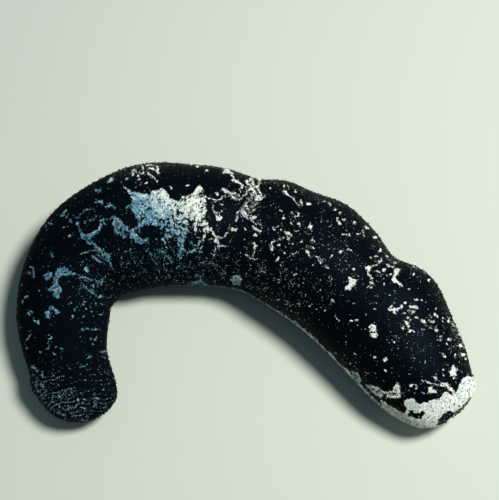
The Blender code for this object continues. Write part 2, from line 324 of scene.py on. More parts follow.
# Strands and threads: width, then the points of the middle
STRANDS = (
    # The ring and the long chain on the outer side of the front bend
    (0.9, 75, 217.5, 79, 217, 80, 214.5, 82.5, 212, 86, 210, 90, 209, 93, 209.5),
    (1.0, 84.5, 221.5, 87, 220.5, 89, 219.5, 90.5, 220.5),
    (0.9, 92.5, 220.5, 94.5, 218.5, 96, 216),
    (1.0, 66.5, 217.5, 69, 218.5, 71, 220.5),
    (1.0, 58.5, 215.5, 62, 215.3, 64.5, 213.5),
    (1.2, 49.5, 223.5, 52, 224.5),
    (1.0, 77.5, 225, 79, 227.5, 81, 231, 83, 234),
    (1.0, 106, 219, 110, 218.5, 113, 217.5),
    (1.0, 91, 251, 96, 250.5, 99, 251, 98, 255, 101, 258, 106, 260, 109, 262),
    (1.4, 91.5, 255.5, 96, 258.5, 99, 261, 101.5, 261.5),
    (1.0, 101, 252, 104, 256, 107, 259, 110, 264, 112, 268),
    (1.0, 81, 254.5, 84, 252.5, 88, 251.5, 91, 251),
    (2.4, 128, 230, 131, 232, 133, 229.5, 136, 228, 138, 227),
    (3.6, 131, 235, 134, 238, 138, 240.5, 142, 242),
    (2.0, 133, 234, 137, 236, 140, 238, 143, 241, 147, 239.5),
    (0.9, 140, 228, 139, 232),
    (0.5, 131, 241, 131.5, 247, 130.5, 250),
    (0.7, 130, 250, 132, 253, 134, 256, 136, 258.5),
    (1.6, 95, 202, 99, 201.5, 102, 203),
    (2.0, 108, 206, 111, 205, 114, 208),
    (1.0, 50, 252.5, 51.5, 254.5, 53, 257),
    # Above the saddle
    (1.5, 143, 167, 142, 170, 144, 173, 141, 175, 138, 176),
    (2.6, 138, 175.5, 142, 173.5),
    (1.1, 134, 170, 137, 172),
    (1.0, 147, 165, 152, 165, 156, 166),
    (2.0, 150, 168, 153, 169, 156, 171, 159, 172.5),
    (2.4, 157, 166, 158, 169, 158, 172),
    (1.3, 147, 172, 150, 175, 154, 178, 158, 182),
    (2.4, 108, 182, 113, 180),
    (1.5, 101, 188, 101, 191, 95, 190),
    (3.2, 223, 172, 228, 171.5, 231, 173, 233, 177),
    (1.5, 232, 180, 237, 181.5, 241, 184, 245, 186),
    # Under the saddle
    (2.0, 191, 241, 193, 245, 197, 247, 199, 248),
    (1.8, 198, 246, 200, 242, 203, 240, 204, 236),
    (1.7, 184, 250, 187, 252, 191, 252, 194, 250, 199, 252),
    (0.8, 170, 247, 172, 250, 175, 253, 178, 254),
    (0.6, 155, 249, 160, 250, 163, 252),
    (0.7, 146, 251, 149, 252, 151, 256, 152, 259),
    (0.6, 163, 255, 168, 256, 170, 259, 172, 263),
    # Right of the saddle
    (1.1, 203, 196, 207, 198, 211, 199, 215, 200, 218, 200, 221, 199, 223, 197, 225, 195),
    (1.6, 217, 193, 219, 195),
    (2.3, 222, 188, 225, 190, 228, 192, 230, 194, 234, 198, 236, 200),
    (1.2, 236, 200, 240, 200, 243, 197, 246, 194, 248, 190),
    (1.3, 231, 194, 235, 194, 240, 196),
    (1.2, 216, 201, 214, 204, 213, 208, 214, 211, 217, 213, 220, 213, 222, 210.5),
    (1.9, 247, 184, 250, 185, 252, 188, 255, 188, 258, 187),
    (1.3, 252, 179, 253, 184, 255, 188),
    (1.4, 260, 179, 259, 184, 258, 187, 259, 191, 261, 195, 261, 198),
    (1.4, 248, 190, 252, 190, 255, 192, 257, 195, 258, 198, 260, 200, 262, 198, 265, 196),
    (1.3, 247, 193, 247, 197, 249, 199, 247, 202),
    (1.3, 252, 195, 255, 197, 257, 199, 259, 201),
    (0.9, 242, 187, 240, 189, 240, 193),
    (1.1, 259, 201, 256, 204, 253, 206, 251, 208),
    (1.3, 250, 209, 253, 211, 254, 209),
    (1.4, 246, 202, 245, 206, 242, 209, 239, 211, 237, 213, 237, 217, 236, 221),
    (1.1, 246, 202, 247, 207, 249, 211),
    (1.3, 241, 210, 241, 213, 244, 216, 247, 218, 249, 219),
    (1.3, 243, 210, 246, 214, 249, 217),
    (1.8, 251, 219, 256, 217),
    (1.3, 252, 221, 256, 223, 261, 225),
    (1.8, 253, 227, 257, 230, 260, 231, 262, 227),
    (0.9, 229, 232, 226, 235, 221, 238),
    (1.1, 212, 230, 214, 235, 217, 238, 219, 237),
    (1.0, 211, 239, 215, 240),
    (1.3, 220, 246, 224, 246),
    (1.0, 216, 247, 215, 252, 214, 257),
    (0.9, 255, 249, 254, 254, 253, 256),
    (1.0, 253, 259, 258, 260),
    # The mouth end's arm
    (1.1, 80, 277.5, 84, 277, 88, 278.5, 92, 280, 98, 281, 102, 283.5),
    (1.1, 80, 279, 82, 283, 85, 286.5, 89, 291, 94, 293.5, 98, 296.5, 103, 297),
    (0.9, 85, 280, 90, 283, 93, 286, 96, 288, 99, 285, 96, 282),
    (1.1, 78.5, 290, 81, 288, 84, 287),
    (1.0, 101, 280, 104, 279, 105.5, 276),
    (1.4, 30, 267, 32.5, 267.5, 33.5, 271, 33.5, 274, 34.5, 276.5),
    (1.4, 29, 273, 32, 275),
    (1.4, 22, 302, 24, 299, 26, 297, 28.5, 296.5),
    (1.2, 33, 318, 34.5, 321, 37, 322.5, 38.5, 321.5, 39, 324),
    (1.6, 14, 328, 18, 329, 20, 328),
    (1.3, 26, 339.5, 28, 338.5, 30.5, 336),
    (1.0, 48.5, 341, 49, 344, 48.5, 347, 46.5, 348.5),
    (1.2, 53, 352.5, 54.5, 354, 56.5, 355.5),
    (0.8, 55, 347.5, 57, 347, 59, 348.3, 62.5, 349.3),
    (1.2, 81, 329.8, 85, 329.3, 88, 329.3, 93, 329, 97, 329.5, 100, 330),
    (1.0, 90.5, 337.5, 91.5, 339.5, 94, 339.5, 96, 339, 96.8, 336),
    (1.3, 100, 352, 103, 351.5, 107, 351.8),
    (1.1, 87, 359.5, 88.5, 357.5, 91, 356.3),
    (1.0, 81, 366.5, 84.5, 366),
    # Round the mouth end's tip
    (1.2, 31, 366.5, 35, 368, 38, 371.5),
    (1.6, 42, 372, 42.5, 376, 43.5, 379),
    (1.4, 42, 384, 44, 387),
    (1.2, 38, 383, 36, 388),
    (1.2, 42, 397, 41.5, 400),
    (1.0, 52.5, 393, 53, 397),
    (0.9, 58.5, 392, 59, 398),
    (0.8, 64, 393, 66, 391, 70, 390.3, 74, 391),
    (0.8, 51, 408.5, 53, 407, 55, 405.5, 57, 404),
    (0.7, 55, 409, 60, 411),
    (0.8, 62, 408.5, 68, 410),
    (0.9, 69, 406, 72, 408, 75, 407),
    (0.8, 57, 412.5, 64, 415.5),
    (0.8, 72, 415.5, 76, 416),
    (0.8, 84, 422.5, 87, 420.5),
    (0.7, 78, 412, 80, 409, 84, 407),
    (0.8, 95, 405.5, 99, 402),
    # The inner edge of the rear arm
    (2.0, 231, 289, 236, 292, 242, 294.5),
    (2.0, 272, 312, 276, 315, 281, 316),
    (1.6, 297, 326, 301, 329, 304, 330),
    (2.4, 329, 353, 333, 358, 336, 362),
    (1.6, 336, 362, 342, 368, 349, 373),
    # The rear arm
    (1.9, 284, 190, 286, 193, 290, 196, 293, 199),
    (1.1, 293, 199, 295, 201.5, 298, 204, 301, 205.5),
    (1.0, 323, 201, 327, 202.5, 331, 205),
    (1.0, 292, 212, 293.5, 214, 295, 216),
    (1.3, 298.5, 214, 297.5, 217),
    (1.2, 291, 220, 291.7, 224),
    (1.3, 277, 227, 280, 226, 283, 225),
    (1.3, 285, 231, 288, 234, 290, 233, 292, 235.5, 290, 237, 288.5, 239, 288, 236),
    (2.5, 271.5, 249, 272, 243),
    (1.3, 273, 242, 275, 241.5, 279, 240, 284, 238),
    (1.1, 312, 240, 314, 242),
    (1.0, 295, 253.5, 298, 252.5, 300, 251, 301, 248.5, 304, 249.5),
    (1.2, 308.5, 252, 309, 256, 311, 258),
    (1.5, 315.5, 256.5, 319, 258),
    (0.9, 319, 259, 321, 263),
    (1.0, 275, 261, 277, 260.5, 278, 258),
    (1.5, 282.5, 268, 285, 270),
    (1.4, 261, 270.5, 264, 271.5),
    (1.4, 347.5, 249.5, 350.5, 250.5),
    (1.7, 362, 231.5, 364, 233, 363.5, 236),
    (0.9, 343, 234.5, 347, 234.3),
    (2.4, 378, 264, 379.5, 261.5, 382, 260),
    (1.2, 371, 267, 374.5, 265.5, 377, 265.5),
    (2.0, 366, 268.5, 369, 268, 371, 267),
    (1.9, 369, 267, 368.5, 272, 370, 276, 372, 279),
    (1.9, 369.5, 281, 370.5, 283, 372, 284.5),
    (1.4, 377, 271, 379, 272, 381, 274.5),
    (0.9, 387, 265, 390, 266.5, 394, 267),
    (1.0, 394, 263.5, 396, 262.5),
    (0.9, 412, 266, 416, 268),
    (0.9, 424, 270.5, 427, 272),
    (2.9, 390, 310.5, 394, 309, 398, 308, 402, 306.5),
    (1.7, 393, 312, 395, 314),
    (2.9, 409, 307.5, 412, 307, 416, 308, 415, 311, 413, 312.5),
    (1.0, 408, 311.5, 410, 309.5),
    (2.1, 404.5, 321.5, 406, 324, 403.5, 327),
    (2.8, 406, 324, 408.5, 327, 408, 329),
    (2.9, 409, 330.5, 412, 330, 414.5, 331.5),
    (1.1, 421.5, 319.5, 424, 321.5, 426.5, 325.5, 429, 328, 431, 328.5),
    (1.5, 429, 320, 431, 321.5, 434.5, 322),
    (1.0, 430, 315, 431.5, 318),
    (0.9, 451.5, 323, 454, 325.5),
    (1.2, 441.5, 336, 439.5, 338, 440.5, 340),
    (1.0, 441, 353, 443, 354),
    (1.0, 335.5, 316, 336, 318, 337.5, 320.5),
    (2.0, 422, 381, 426, 381, 430, 383),
    (1.2, 430, 383, 434, 383.5, 437, 385, 440, 385),
)
# Small lumps of sand: middle, and half sizes
LUMPS = (
    # The outer side of the front bend, and above the saddle
    70.5, 221.5, 1.3, 0.9, 65.7, 211, 0.8, 1.5, 46, 226.8, 0.9, 0.7, 64, 227.3, 0.9, 0.6,
    69.7, 235.5, 1.1, 1.1, 77.5, 223.5, 1.6, 2.0, 102.5, 203, 1.2, 1.6, 106, 206.5, 1.3, 1.0,
    111, 179, 2.0, 1.4, 133, 174, 1.2, 1.4, 146.5, 183, 1.4, 1.0, 127, 179, 1.0, 1.0, 139, 179, 1.0, 0.9,
    191, 163.5, 2.0, 1.0, 198, 166.5, 1.4, 1.0, 207, 171, 1.4, 0.8, 220, 166, 1.4, 0.9, 187, 186, 0.9, 0.7,
    171, 187, 0.7, 0.7,
    # Round the net
    219, 218, 3.0, 2.2, 216.5, 216, 1.2, 1.2, 234, 230, 3.0, 1.8, 217, 241, 2.2, 3.0, 219, 238, 1.6, 1.2,
    255, 245, 1.8, 2.4, 250, 258, 1.1, 1.2, 246, 229, 0.8, 1.6, 255, 235, 1.5, 1.2, 247, 255, 0.8, 1.0,
    258, 198, 2.4, 2.2, 254, 193, 1.2, 1.4, 250, 180, 1.0, 1.4, 247, 181, 0.8, 1.4, 222, 205, 0.9, 0.9,
    # The mouth end's arm
    22, 285.5, 0.6, 0.6, 18.5, 281.5, 0.9, 1.1, 27, 348, 0.8, 0.7, 50.7, 338.3, 1.1, 0.6, 41, 352, 0.6, 0.4,
    93.5, 344, 0.6, 0.8, 68.5, 296.3, 0.7, 0.5, 69, 303.7, 0.8, 0.6, 75, 309.5, 0.8, 0.9,
    84.5, 301.8, 0.9, 0.6, 83, 305, 0.6, 0.6, 89.5, 306, 0.6, 0.7, 76, 306.5, 0.7, 0.4, 86, 308.7, 0.6, 0.6,
    95.5, 304, 0.7, 0.6, 92, 311.5, 0.9, 0.5, 72.7, 316.7, 0.7, 0.6, 83.3, 316.6, 0.7, 0.6,
    92.4, 316.6, 0.8, 0.6, 100.2, 314.2, 1.2, 0.5, 111, 296.4, 0.8, 0.6, 109, 298.7, 0.7, 0.7,
    49.8, 324.5, 0.7, 0.7, 51.5, 312.3, 0.6, 0.6, 102.5, 282.5, 1.2, 1.0, 33, 375.5, 0.6, 0.6,
    38, 391, 0.9, 0.6, 44, 402, 0.7, 0.7, 71.5, 393.5, 0.6, 0.7, 82, 419, 0.9, 0.6, 78, 400.5, 0.6, 0.6,
    98.5, 398.5, 0.6, 0.6, 83.5, 399, 0.6, 0.9,
    # The inner edge
    242, 294, 1.6, 1.4, 259, 300, 1.4, 1.0, 310, 334.5, 1.2, 1.2, 345, 370, 1.3, 1.0,
    # The front of the rear arm
    284, 186.5, 1.0, 1.4, 288, 186.5, 0.6, 0.6, 295.5, 191.5, 0.6, 0.6, 270, 188, 0.8, 0.8,
    301, 202.5, 1.0, 1.1, 308.5, 203.5, 1.3, 1.0, 318, 199.5, 1.0, 0.6, 318.7, 203.3, 0.6, 0.7,
    281.3, 210.5, 1.1, 0.6, 296, 212, 0.9, 0.8, 299.7, 224, 1.2, 2.1, 310.5, 226.5, 1.8, 2.7,
    297.3, 231, 0.9, 0.7, 283.3, 218.3, 0.6, 0.6, 281.5, 229.5, 0.7, 0.6, 274.5, 229.5, 0.8, 0.8,
    272.5, 227, 0.7, 0.7, 278.7, 244.8, 1.6, 1.2, 313.3, 247.5, 1.0, 1.1, 284.4, 253, 0.8, 0.7,
    292.3, 254, 0.8, 0.6, 292.3, 243.5, 0.8, 0.6, 301.8, 242, 0.7, 0.6, 306.5, 251.5, 1.5, 1.4,
    294.5, 274.5, 1.1, 1.0, 327.5, 268, 1.1, 0.6, 331, 256, 0.7, 1.0, 340.5, 252.5, 1.0, 1.9,
    353.3, 268.7, 0.9, 0.9, 337.7, 218.2, 1.1, 1.0, 339.3, 223, 1.8, 1.1, 337.3, 220.5, 0.7, 1.3,
    344.2, 219.6, 0.9, 0.7, 354.6, 222.5, 0.6, 0.7, 335.2, 209.7, 0.8, 0.8, 339.6, 213.3, 0.6, 0.8,
    366.7, 227.5, 1.6, 1.4, 358, 234.5, 0.8, 0.9, 350, 234.2, 0.9, 0.6, 375, 237.5, 1.9, 1.4,
    380.3, 250.7, 1.2, 1.4,
    # The back of the rear arm
    376, 257, 1.0, 0.7, 387, 256.5, 1.0, 0.6, 371, 258, 0.6, 0.6, 368.3, 286.5, 0.9, 0.8,
    370.5, 287.5, 0.7, 0.7, 383, 270, 0.9, 0.9, 386, 269.5, 0.8, 0.6, 390.3, 274.2, 0.8, 0.7,
    384.5, 283.9, 0.9, 1.1, 395.5, 256.5, 0.9, 0.6, 414, 273.5, 0.9, 1.1, 429, 280, 1.0, 0.9,
    409.8, 288.7, 0.8, 0.7, 394, 290.5, 0.9, 0.6, 390, 295.5, 0.8, 0.7, 416.5, 300, 1.0, 0.7,
    421.5, 299.5, 0.7, 0.6, 405, 303, 0.8, 1.2, 391.5, 306.5, 1.1, 1.0, 375, 309, 1.0, 0.8,
    365.3, 315.7, 1.1, 0.7, 407.5, 317.5, 1.0, 0.9, 404, 313, 1.0, 0.8, 416.5, 317.5, 1.5, 1.0,
    410, 319.5, 0.9, 0.6, 403, 328, 0.8, 0.7, 435.5, 327, 1.0, 0.8, 436, 330.5, 2.0, 1.3,
    436.5, 309, 0.8, 1.0, 435, 314.5, 0.6, 0.8, 437, 316.5, 0.6, 0.8, 443, 317.5, 0.7, 0.6,
    449, 318, 1.0, 1.0, 452.3, 315.5, 1.0, 1.0, 443, 321, 0.8, 0.6, 448, 321.5, 0.8, 0.6,
    449, 339.5, 1.8, 1.1, 446.3, 343.3, 0.8, 0.7, 457.5, 329.5, 1.0, 1.4, 459.5, 335, 0.8, 1.0,
    461, 345, 1.7, 1.7, 463, 354.5, 2.1, 1.4, 455, 355, 0.8, 1.4, 444.5, 356, 0.9, 0.7,
    465.5, 359, 0.8, 0.7, 394.7, 342, 0.8, 1.0, 374.7, 357.7, 1.2, 1.0, 384.7, 359.3, 1.3, 1.5,
    385.5, 371.3, 1.1, 1.0, 415.2, 358, 0.8, 0.8, 425.5, 362.5, 0.8, 0.6, 443, 369.5, 1.0, 0.7,
    443.5, 375.5, 1.0, 0.7, 332.5, 300.5, 0.9, 1.0, 331, 305, 0.7, 0.8, 325, 310.5, 1.1, 0.8,
    350.7, 320.8, 0.8, 0.7, 356.5, 320.2, 0.7, 0.6, 310, 306.3, 0.8, 0.6, 354.5, 353.6, 0.8, 0.6,
    350, 363.3, 0.7, 0.7, 335.5, 352.8, 0.6, 0.7, 411, 385, 1.0, 0.9, 416, 388, 1.1, 1.0,
    416, 385, 0.7, 0.6, 424, 392.5, 1.0, 0.7, 427.5, 393.5, 0.8, 0.6, 454, 378, 0.8, 0.7,
    437, 397, 0.6, 0.6,
)
# Dark gaps inside the sand: middle, and half sizes
GAPS = (
    152.5, 193.5, 1.6, 1.6, 186.5, 204, 1.6, 1.1, 188, 212, 1.5, 1.2, 182, 213, 1.2, 1.8,
    202.5, 206, 0.9, 3.2, 203.5, 218.5, 0.9, 0.9, 201, 211, 0.8, 2.0, 161.5, 222, 2.4, 2.0,
    165.5, 225, 2.2, 1.6, 171, 224.5, 1.8, 1.3, 164, 229, 1.3, 1.0, 172, 234, 3.0, 1.8,
    181.5, 230.5, 1.6, 1.6, 189.5, 220.5, 1.2, 1.2, 186, 226, 1.4, 1.2, 194, 221, 1.0, 1.4,
    168, 219, 1.2, 1.0, 176, 222, 1.0, 1.0, 178, 236, 1.4, 1.6, 198, 220, 1.0, 1.2, 158, 219, 1.3, 1.0,
    143, 204, 2.0, 0.8, 133, 194, 1.0, 0.8, 87.5, 237.5, 1.3, 1.0, 102.8, 221.8, 1.2, 2.2,
    120.5, 230, 1.8, 1.6, 117, 226, 0.8, 1.0, 89, 240.5, 1.6, 0.8, 84, 237, 0.8, 0.6, 103, 252.5, 1.2, 0.8,
    106, 256, 1.0, 0.9, 30.5, 312, 0.9, 0.9, 372.3, 331.8, 1.8, 1.3, 357, 378, 1.0, 1.0,
    378, 391.5, 1.4, 1.0, 373, 389, 1.2, 0.9, 383, 394, 1.5, 0.9, 393, 394, 3.5, 0.9, 440.5, 338, 0.8, 0.7,
    49, 275.5, 0.8, 0.6,
)
# The cap of sand at the vent end: its outline runs on past the edge of the body
CAP = (
    404, 403, 405, 401, 407, 398.5, 410, 399, 414, 399, 416, 402, 420, 403.5, 426, 402.5, 432, 400,
    438, 398.5, 441, 398, 443, 393, 446, 391.5, 449, 394, 452, 395, 456, 392, 459, 390, 460, 385, 461, 380,
    464, 378, 468, 376, 471, 377, 490, 375, 490, 450, 392, 450, 380, 398, 386, 404, 392, 406, 398, 411,
    404, 413, 407.5, 409.5,
)
CAP_GAPS = (
    (
        408.5, 411.5, 412, 410, 414, 413, 418, 412.5, 422, 411, 425.5, 413, 423, 416, 421, 419.5, 415, 419,
        411, 416.5, 409, 419, 407.5, 415,
    ),
    (
        436, 427, 438, 421.5, 440, 418, 443, 413.5, 447, 411, 451, 411, 454, 412.5, 457, 409.5, 460, 408,
        463, 405, 466, 401.5, 470, 396.5, 473, 399, 466, 410, 461, 414, 456, 416.5, 452, 417.5, 449, 420,
        444, 424.5,
    ),
)
# Scattered grains: middle, half sizes, and grains to a square millimetre at the middle
SPECK_FIELDS = (
    (165, 264, 42, 16, 2.6),
    (215, 268, 40, 20, 1.5),
    (285, 285, 45, 22, 1.0),
    (250, 200, 20, 26, 0.7),
    (92, 285, 16, 10, 1.4),
    (92, 305, 22, 14, 0.6),
    (80, 408, 42, 14, 2.2),
    (97, 378, 20, 22, 0.25),
    (42, 390, 14, 22, 2.4),
    (62, 395, 24, 14, 0.6),
    (435, 322, 24, 22, 0.4),
    (408, 342, 26, 16, 0.3),
    (385, 268, 18, 12, 0.8),
    (330, 250, 36, 26, 0.5),
    (178, 228, 26, 12, 1.5),
    (457, 345, 8, 30, 1.4),
    (150, 170, 20, 7, 0.8),
    (102, 258, 12, 8, 1.6),
)
# Where hardly a grain lies: middle, half sizes, and the share that goes
CLEAN_FIELDS = (
    (190, 180, 36, 9, 0.85),
    (66, 248, 24, 22, 0.75),
    (110, 232, 12, 9, 0.9),
    (150, 234, 10, 7, 0.9),
    (34, 290, 12, 18, 0.6),
    (68, 340, 24, 22, 0.85),
    (325, 335, 36, 22, 0.85),
    (415, 292, 26, 7, 0.8),
    (228, 222, 10, 18, 0.6),
)
EVEN_SPECKS = 0.2  # grains to a square millimetre all over
STREWN = 12.0  # places tried to a square millimetre of skin


def linear(hex_colour):
    """An sRGB hex colour as linear red, green, blue and alpha: ((c + 0.055) / 1.055) ** 2.4 for each."""
    channels = np.array([int(hex_colour[i : i + 2], 16) for i in (1, 3, 5)]) / 255
    bright = ((channels + 0.055) / 1.055) ** 2.4
    return (*np.where(channels <= 0.04045, channels / 12.92, bright).tolist(), 1.0)


def smooth_step(value, start, end):
    """0 up to the start and 1 from the end, and between 3t^2 - 2t^3 of the share t of the way.

    The end may be the lower of the two.
    """
    t = np.clip((value - start) / (end - start), 0, 1)
    return t * t * (3 - 2 * t)


def unit(vectors):
    """The vectors, each divided by its length."""
    return vectors / np.maximum(np.linalg.norm(vectors, axis=-1, keepdims=True), 1e-12)


NOISE_DIRECTIONS = 4096
NOISE_GAIN = 1.6  # brings the sums to about -1 to 1
CELL_KEYS = (73856093, 19349663, 83492791)  # large primes, which scatter the corners over the directions


def lattice_noise(points, seed):
    """Smooth noise, about -1 to 1, with features about one unit across.

    Every corner of the unit lattice has a random direction. Its pull on a point is the point's offset
    from it along that direction, and fades between corners by 6t^5 - 15t^4 + 10t^3 on each axis.
    """
    directions = unit(np.random.default_rng(seed).normal(size=(NOISE_DIRECTIONS, 3)))
    cell = np.floor(points).astype(np.int64)
    part = points - cell
    fade = part**3 * (part * (part * 6 - 15) + 10)
    total = 0
    for corner in itertools.product((0, 1), repeat=3):
        key = ((cell + corner) * CELL_KEYS).sum(-1)
        key = (key ^ (key >> 15)) % len(directions)
        pull = ((part - corner) * directions[key]).sum(-1)
        total = total + pull * np.where(np.array(corner) == 1, fade, 1 - fade).prod(-1)
    return total * NOISE_GAIN


# The body's form


def eased(table, shares):
    """A smooth curve through a table of share: value, by Hermite pieces, level at both ends."""
    keys = np.array(list(table))
    values = np.array(list(table.values()), float)
    slopes = np.gradient(values, keys)
    slopes[[0, -1]] = 0
    i = np.clip(np.searchsorted(keys, shares, side="right") - 1, 0, len(keys) - 2)
    step = keys[i + 1] - keys[i]
    t = np.clip((shares - keys[i]) / step, 0, 1)
    first = values[i] * (1 + 2 * t) * (1 - t) ** 2 + slopes[i] * step * t * (1 - t) ** 2
    second = values[i + 1] * t * t * (3 - 2 * t) - slopes[i + 1] * step * t * t * (1 - t)
    return first + second


@functools.cache
def middle_line():
    """Distances along the middle line, and the plan place and heading at each.

    The place is the running sum of short steps, each taken along the heading there.
    """
    distances = np.linspace(0, BODY_LENGTH, LINE_STEPS + 1)
    headings = np.radians(eased(HEADINGS, distances / BODY_LENGTH))
    halfway = (headings[1:] + headings[:-1]) / 2
    x = MOUTH_TIP[0] + np.concatenate([[0], np.cumsum(np.cos(halfway))]) * distances[1]
    y = MOUTH_TIP[1] + np.concatenate([[0], np.cumsum(np.sin(halfway))]) * distances[1]
    return distances, x, y, headings


def plan_place(distance):
    """The floor points under the middle line, and the directions ahead and to the outer side."""
    distances, x, y, headings = middle_line()
    heading = np.interp(distance, distances, headings)
    level = np.zeros_like(heading)
    point = np.stack([np.interp(distance, distances, x), np.interp(distance, distances, y), level], -1)
    ahead = np.stack([np.cos(heading), np.sin(heading), level], -1)
    outward = np.stack([-np.sin(heading), np.cos(heading), level], -1)
    return point, ahead, outward


def half_width_at(distance):
    """Half the body's width along the middle line, without the swells."""
    return eased(HALF_WIDTHS, distance / BODY_LENGTH) * MM


def dome_share(distance):
    """How much of the full section is left: 1 along the trunk, and 0 at the tips, by a rounding power."""
    share = 1.0
    for from_tip, dome in ((distance, MOUTH_DOME), (BODY_LENGTH - distance, VENT_DOME)):
        left = np.clip(1 - from_tip / dome, 0, 1)
        share = share * (1 - left**DOME_POWER) ** (1 / DOME_POWER)
    return share


def swell_rise(distance, angle):
    """How far the named swells push the body wall out, as a sum of round bumps."""
    rise = 0.0
    for share, round_angle, height, reach, reach_round in SWELLS.values():
        along = (distance - share * BODY_LENGTH) / (reach * MM)
        turned = (np.degrees(angle) - round_angle + 180) % 360 - 180
        rise = rise + height * MM * np.exp(-(along**2) - (turned / reach_round) ** 2)
    return rise


def wall_points(distance, angle, dome):
    """Points of the smooth body wall.

    The back is a half ellipse over the equator. The underside is a half ellipse below it, which the
    floor cuts off flat. Both shrink towards the middle by the dome share.
    """
    point, _, outward = plan_place(distance)
    height = 2 * HEIGHT_PER_WIDTH * half_width_at(distance)
    equator = EQUATOR_SHARE * height
    lift = smooth_step(distance, LIFT_ENDS_AT, LIFT_FULL_AT)
    under = equator - lift * MOUTH_LIFT + (1 - lift) * SOLE_DROP * height
    rise = swell_rise(distance, angle)
    up = np.cos(angle)
    sideways = (half_width_at(distance) + rise) * np.sin(angle) * dome
    level = equator + (np.where(up > 0, height - equator, under) + rise) * up * dome
    place = point + outward * sideways[..., None]
    place[..., 2] += np.maximum(level, 0)
    return place


def hollowed(points, angle):
    """The points, the underside pushed up into the mouth's hollow: the smooth maximum of both."""
    centre = plan_place(np.array(MOUTH_AT))[0]
    across = np.linalg.norm(points[..., :2] - centre[:2], axis=-1)
    ball = HOLLOW_TOP - HOLLOW_RADIUS + np.sqrt(np.maximum(HOLLOW_RADIUS**2 - across**2, 0))
    height = points[..., 2]
    pushed = (height + ball + np.sqrt((height - ball) ** 2 + HOLLOW_LIP**2)) / 2
    points[..., 2] = np.where((np.cos(angle) < 0) & (across < HOLLOW_RADIUS), pushed, height)
    return points


def straight_places(distance, angle, dome):
    """The same places on a straight tube with domed ends, in metres. Noise there closes round the body."""
    reach = WRAP_RADIUS * dome
    return np.stack(np.broadcast_arrays(distance, reach * np.cos(angle), reach * np.sin(angle)), -1)


def skin_rings():
    """How far the skin's rings lie over the skin, their distances along the middle line and dome shares.

    The profile runs from the mouth tip to the vent's rim, and then down the vent's funnel. Its length
    is the running sum of the steps' lengths, along and across. Rings stand at even spacing over it.
    """
    distance = BODY_LENGTH * (1 - np.cos(np.pi * np.linspace(0, 1, PROFILE_POINTS))) / 2
    distance = distance[distance < BODY_LENGTH - VENT_FUNNEL[0][0]]
    inset, radius = np.array((*VENT_FUNNEL, (VENT_DEPTH, 0.0))).T
    dome = np.concatenate([dome_share(distance), radius / half_width_at(BODY_LENGTH - inset)])
    distance = np.concatenate([distance, BODY_LENGTH - inset])
    steps = np.hypot(np.diff(distance), np.diff(dome * half_width_at(distance)))
    over = np.concatenate([[0], np.cumsum(steps)])
    trunk = np.linspace(FINE_END, over[-1], round((over[-1] - FINE_END) / TRUNK_SPACING))
    along = np.concatenate([np.arange(0, FINE_END, END_SPACING), trunk])
    return along, np.interp(along, over, distance), np.interp(along, over, dome)


def furrow_count(along):
    """The number of ring furrows passed since the mouth tip: the running sum of step over spacing."""
    table = np.linspace(0, 1.3 * BODY_LENGTH, 2001)
    widening = smooth_step(table, *FURROWS_WIDEN)
    spacing = END_FURROWS + (TRUNK_FURROWS - END_FURROWS) * widening
    return np.interp(along, table, np.cumsum(table[1] / spacing))


def ring_furrows(along, angle, straight):
    """Ring furrows, 1 in the bottom of one and 0 between them: the third power of a raised cosine.

    Noise bends them. They are deep at the mouth end, on the inner side of the bend and by the vent,
    and faint and broken elsewhere.
    """
    bent = sum(pull * lattice_noise(straight / size, seed) for size, seed, pull in FURROW_BENDS)
    profile = (0.5 + 0.5 * np.cos(2 * np.pi * (furrow_count(along) + bent))) ** 3
    middle, reach = INNER_FURROWS
    inner = np.clip(-np.sin(angle), 0, 1) * np.exp(-(((along - middle) / reach) ** 2))
    back, mouth, bend, vent = FURROW_STRENGTH
    strength = back + mouth * smooth_step(along, *FURROWS_BY_MOUTH) + bend * inner
    strength = strength + vent * smooth_step(along, *FURROWS_BY_VENT)
    broken = 0.65 + 0.35 * lattice_noise(straight / (6 * MM), 13)
    return profile * np.clip(strength, 0, 1) * broken


def relief_depth(along, angle, straight, furrows, furrow_depth):
    """How deep folds and lumps sink the skin under its smooth form, in metres, and never less than 0."""
    from_vent = (along.max() - along) / VENT_FOLD_REACH
    vent_folds = (0.5 + 0.5 * np.cos(VENT_FOLDS * angle)) * np.exp(-(from_vent**2))
    depth = furrow_depth * furrows + VENT_FOLD_DEPTH * vent_folds
    for most, size, seed in SKIN_RELIEF:
        depth = depth + most * (1 - lattice_noise(straight / size, seed))
    return np.maximum(depth, 0)


def grid_normals(points):
    """Unit normals of a grid of points that closes round its second axis: the cross of its two slopes."""
    onward = np.gradient(points, axis=0)
    around = np.roll(points, -1, axis=1) - np.roll(points, 1, axis=1)
    return unit(np.cross(onward, around))


def picture_of(points):
    """Picture places of points, by the camera's perspective, and unit directions to the camera."""
    ray = points - CAMERA_PLACE
    scale = CAMERA_LENS / CAMERA_SENSOR * PICTURE_SIZE[0] / (ray @ CAMERA_AHEAD)
    x = PICTURE_SIZE[0] / 2 + scale * (ray @ CAMERA_RIGHT)
    y = PICTURE_SIZE[1] / 2 - scale * (ray @ CAMERA_UP)
    return np.stack([x, y], -1), -unit(ray)


@dataclass
class Places:
    """Places on the skin, as arrays with the same first sizes."""

    along: np.ndarray  # metres over the skin from the mouth tip
    distance: np.ndarray  # metres along the middle line
    angle: np.ndarray  # round angle, in radians
    straight: np.ndarray  # the place on the straight tube
    point: np.ndarray
    normal: np.ndarray
    unwrap: np.ndarray  # the place on the bake map
    picture: np.ndarray
    facing: np.ndarray  # cosine between the normal and the way to the camera

    def chosen(self, keep):
        """The places that a mask, or an array of their numbers, picks out."""
        return Places(**{field.name: getattr(self, field.name)[keep] for field in fields(self)})


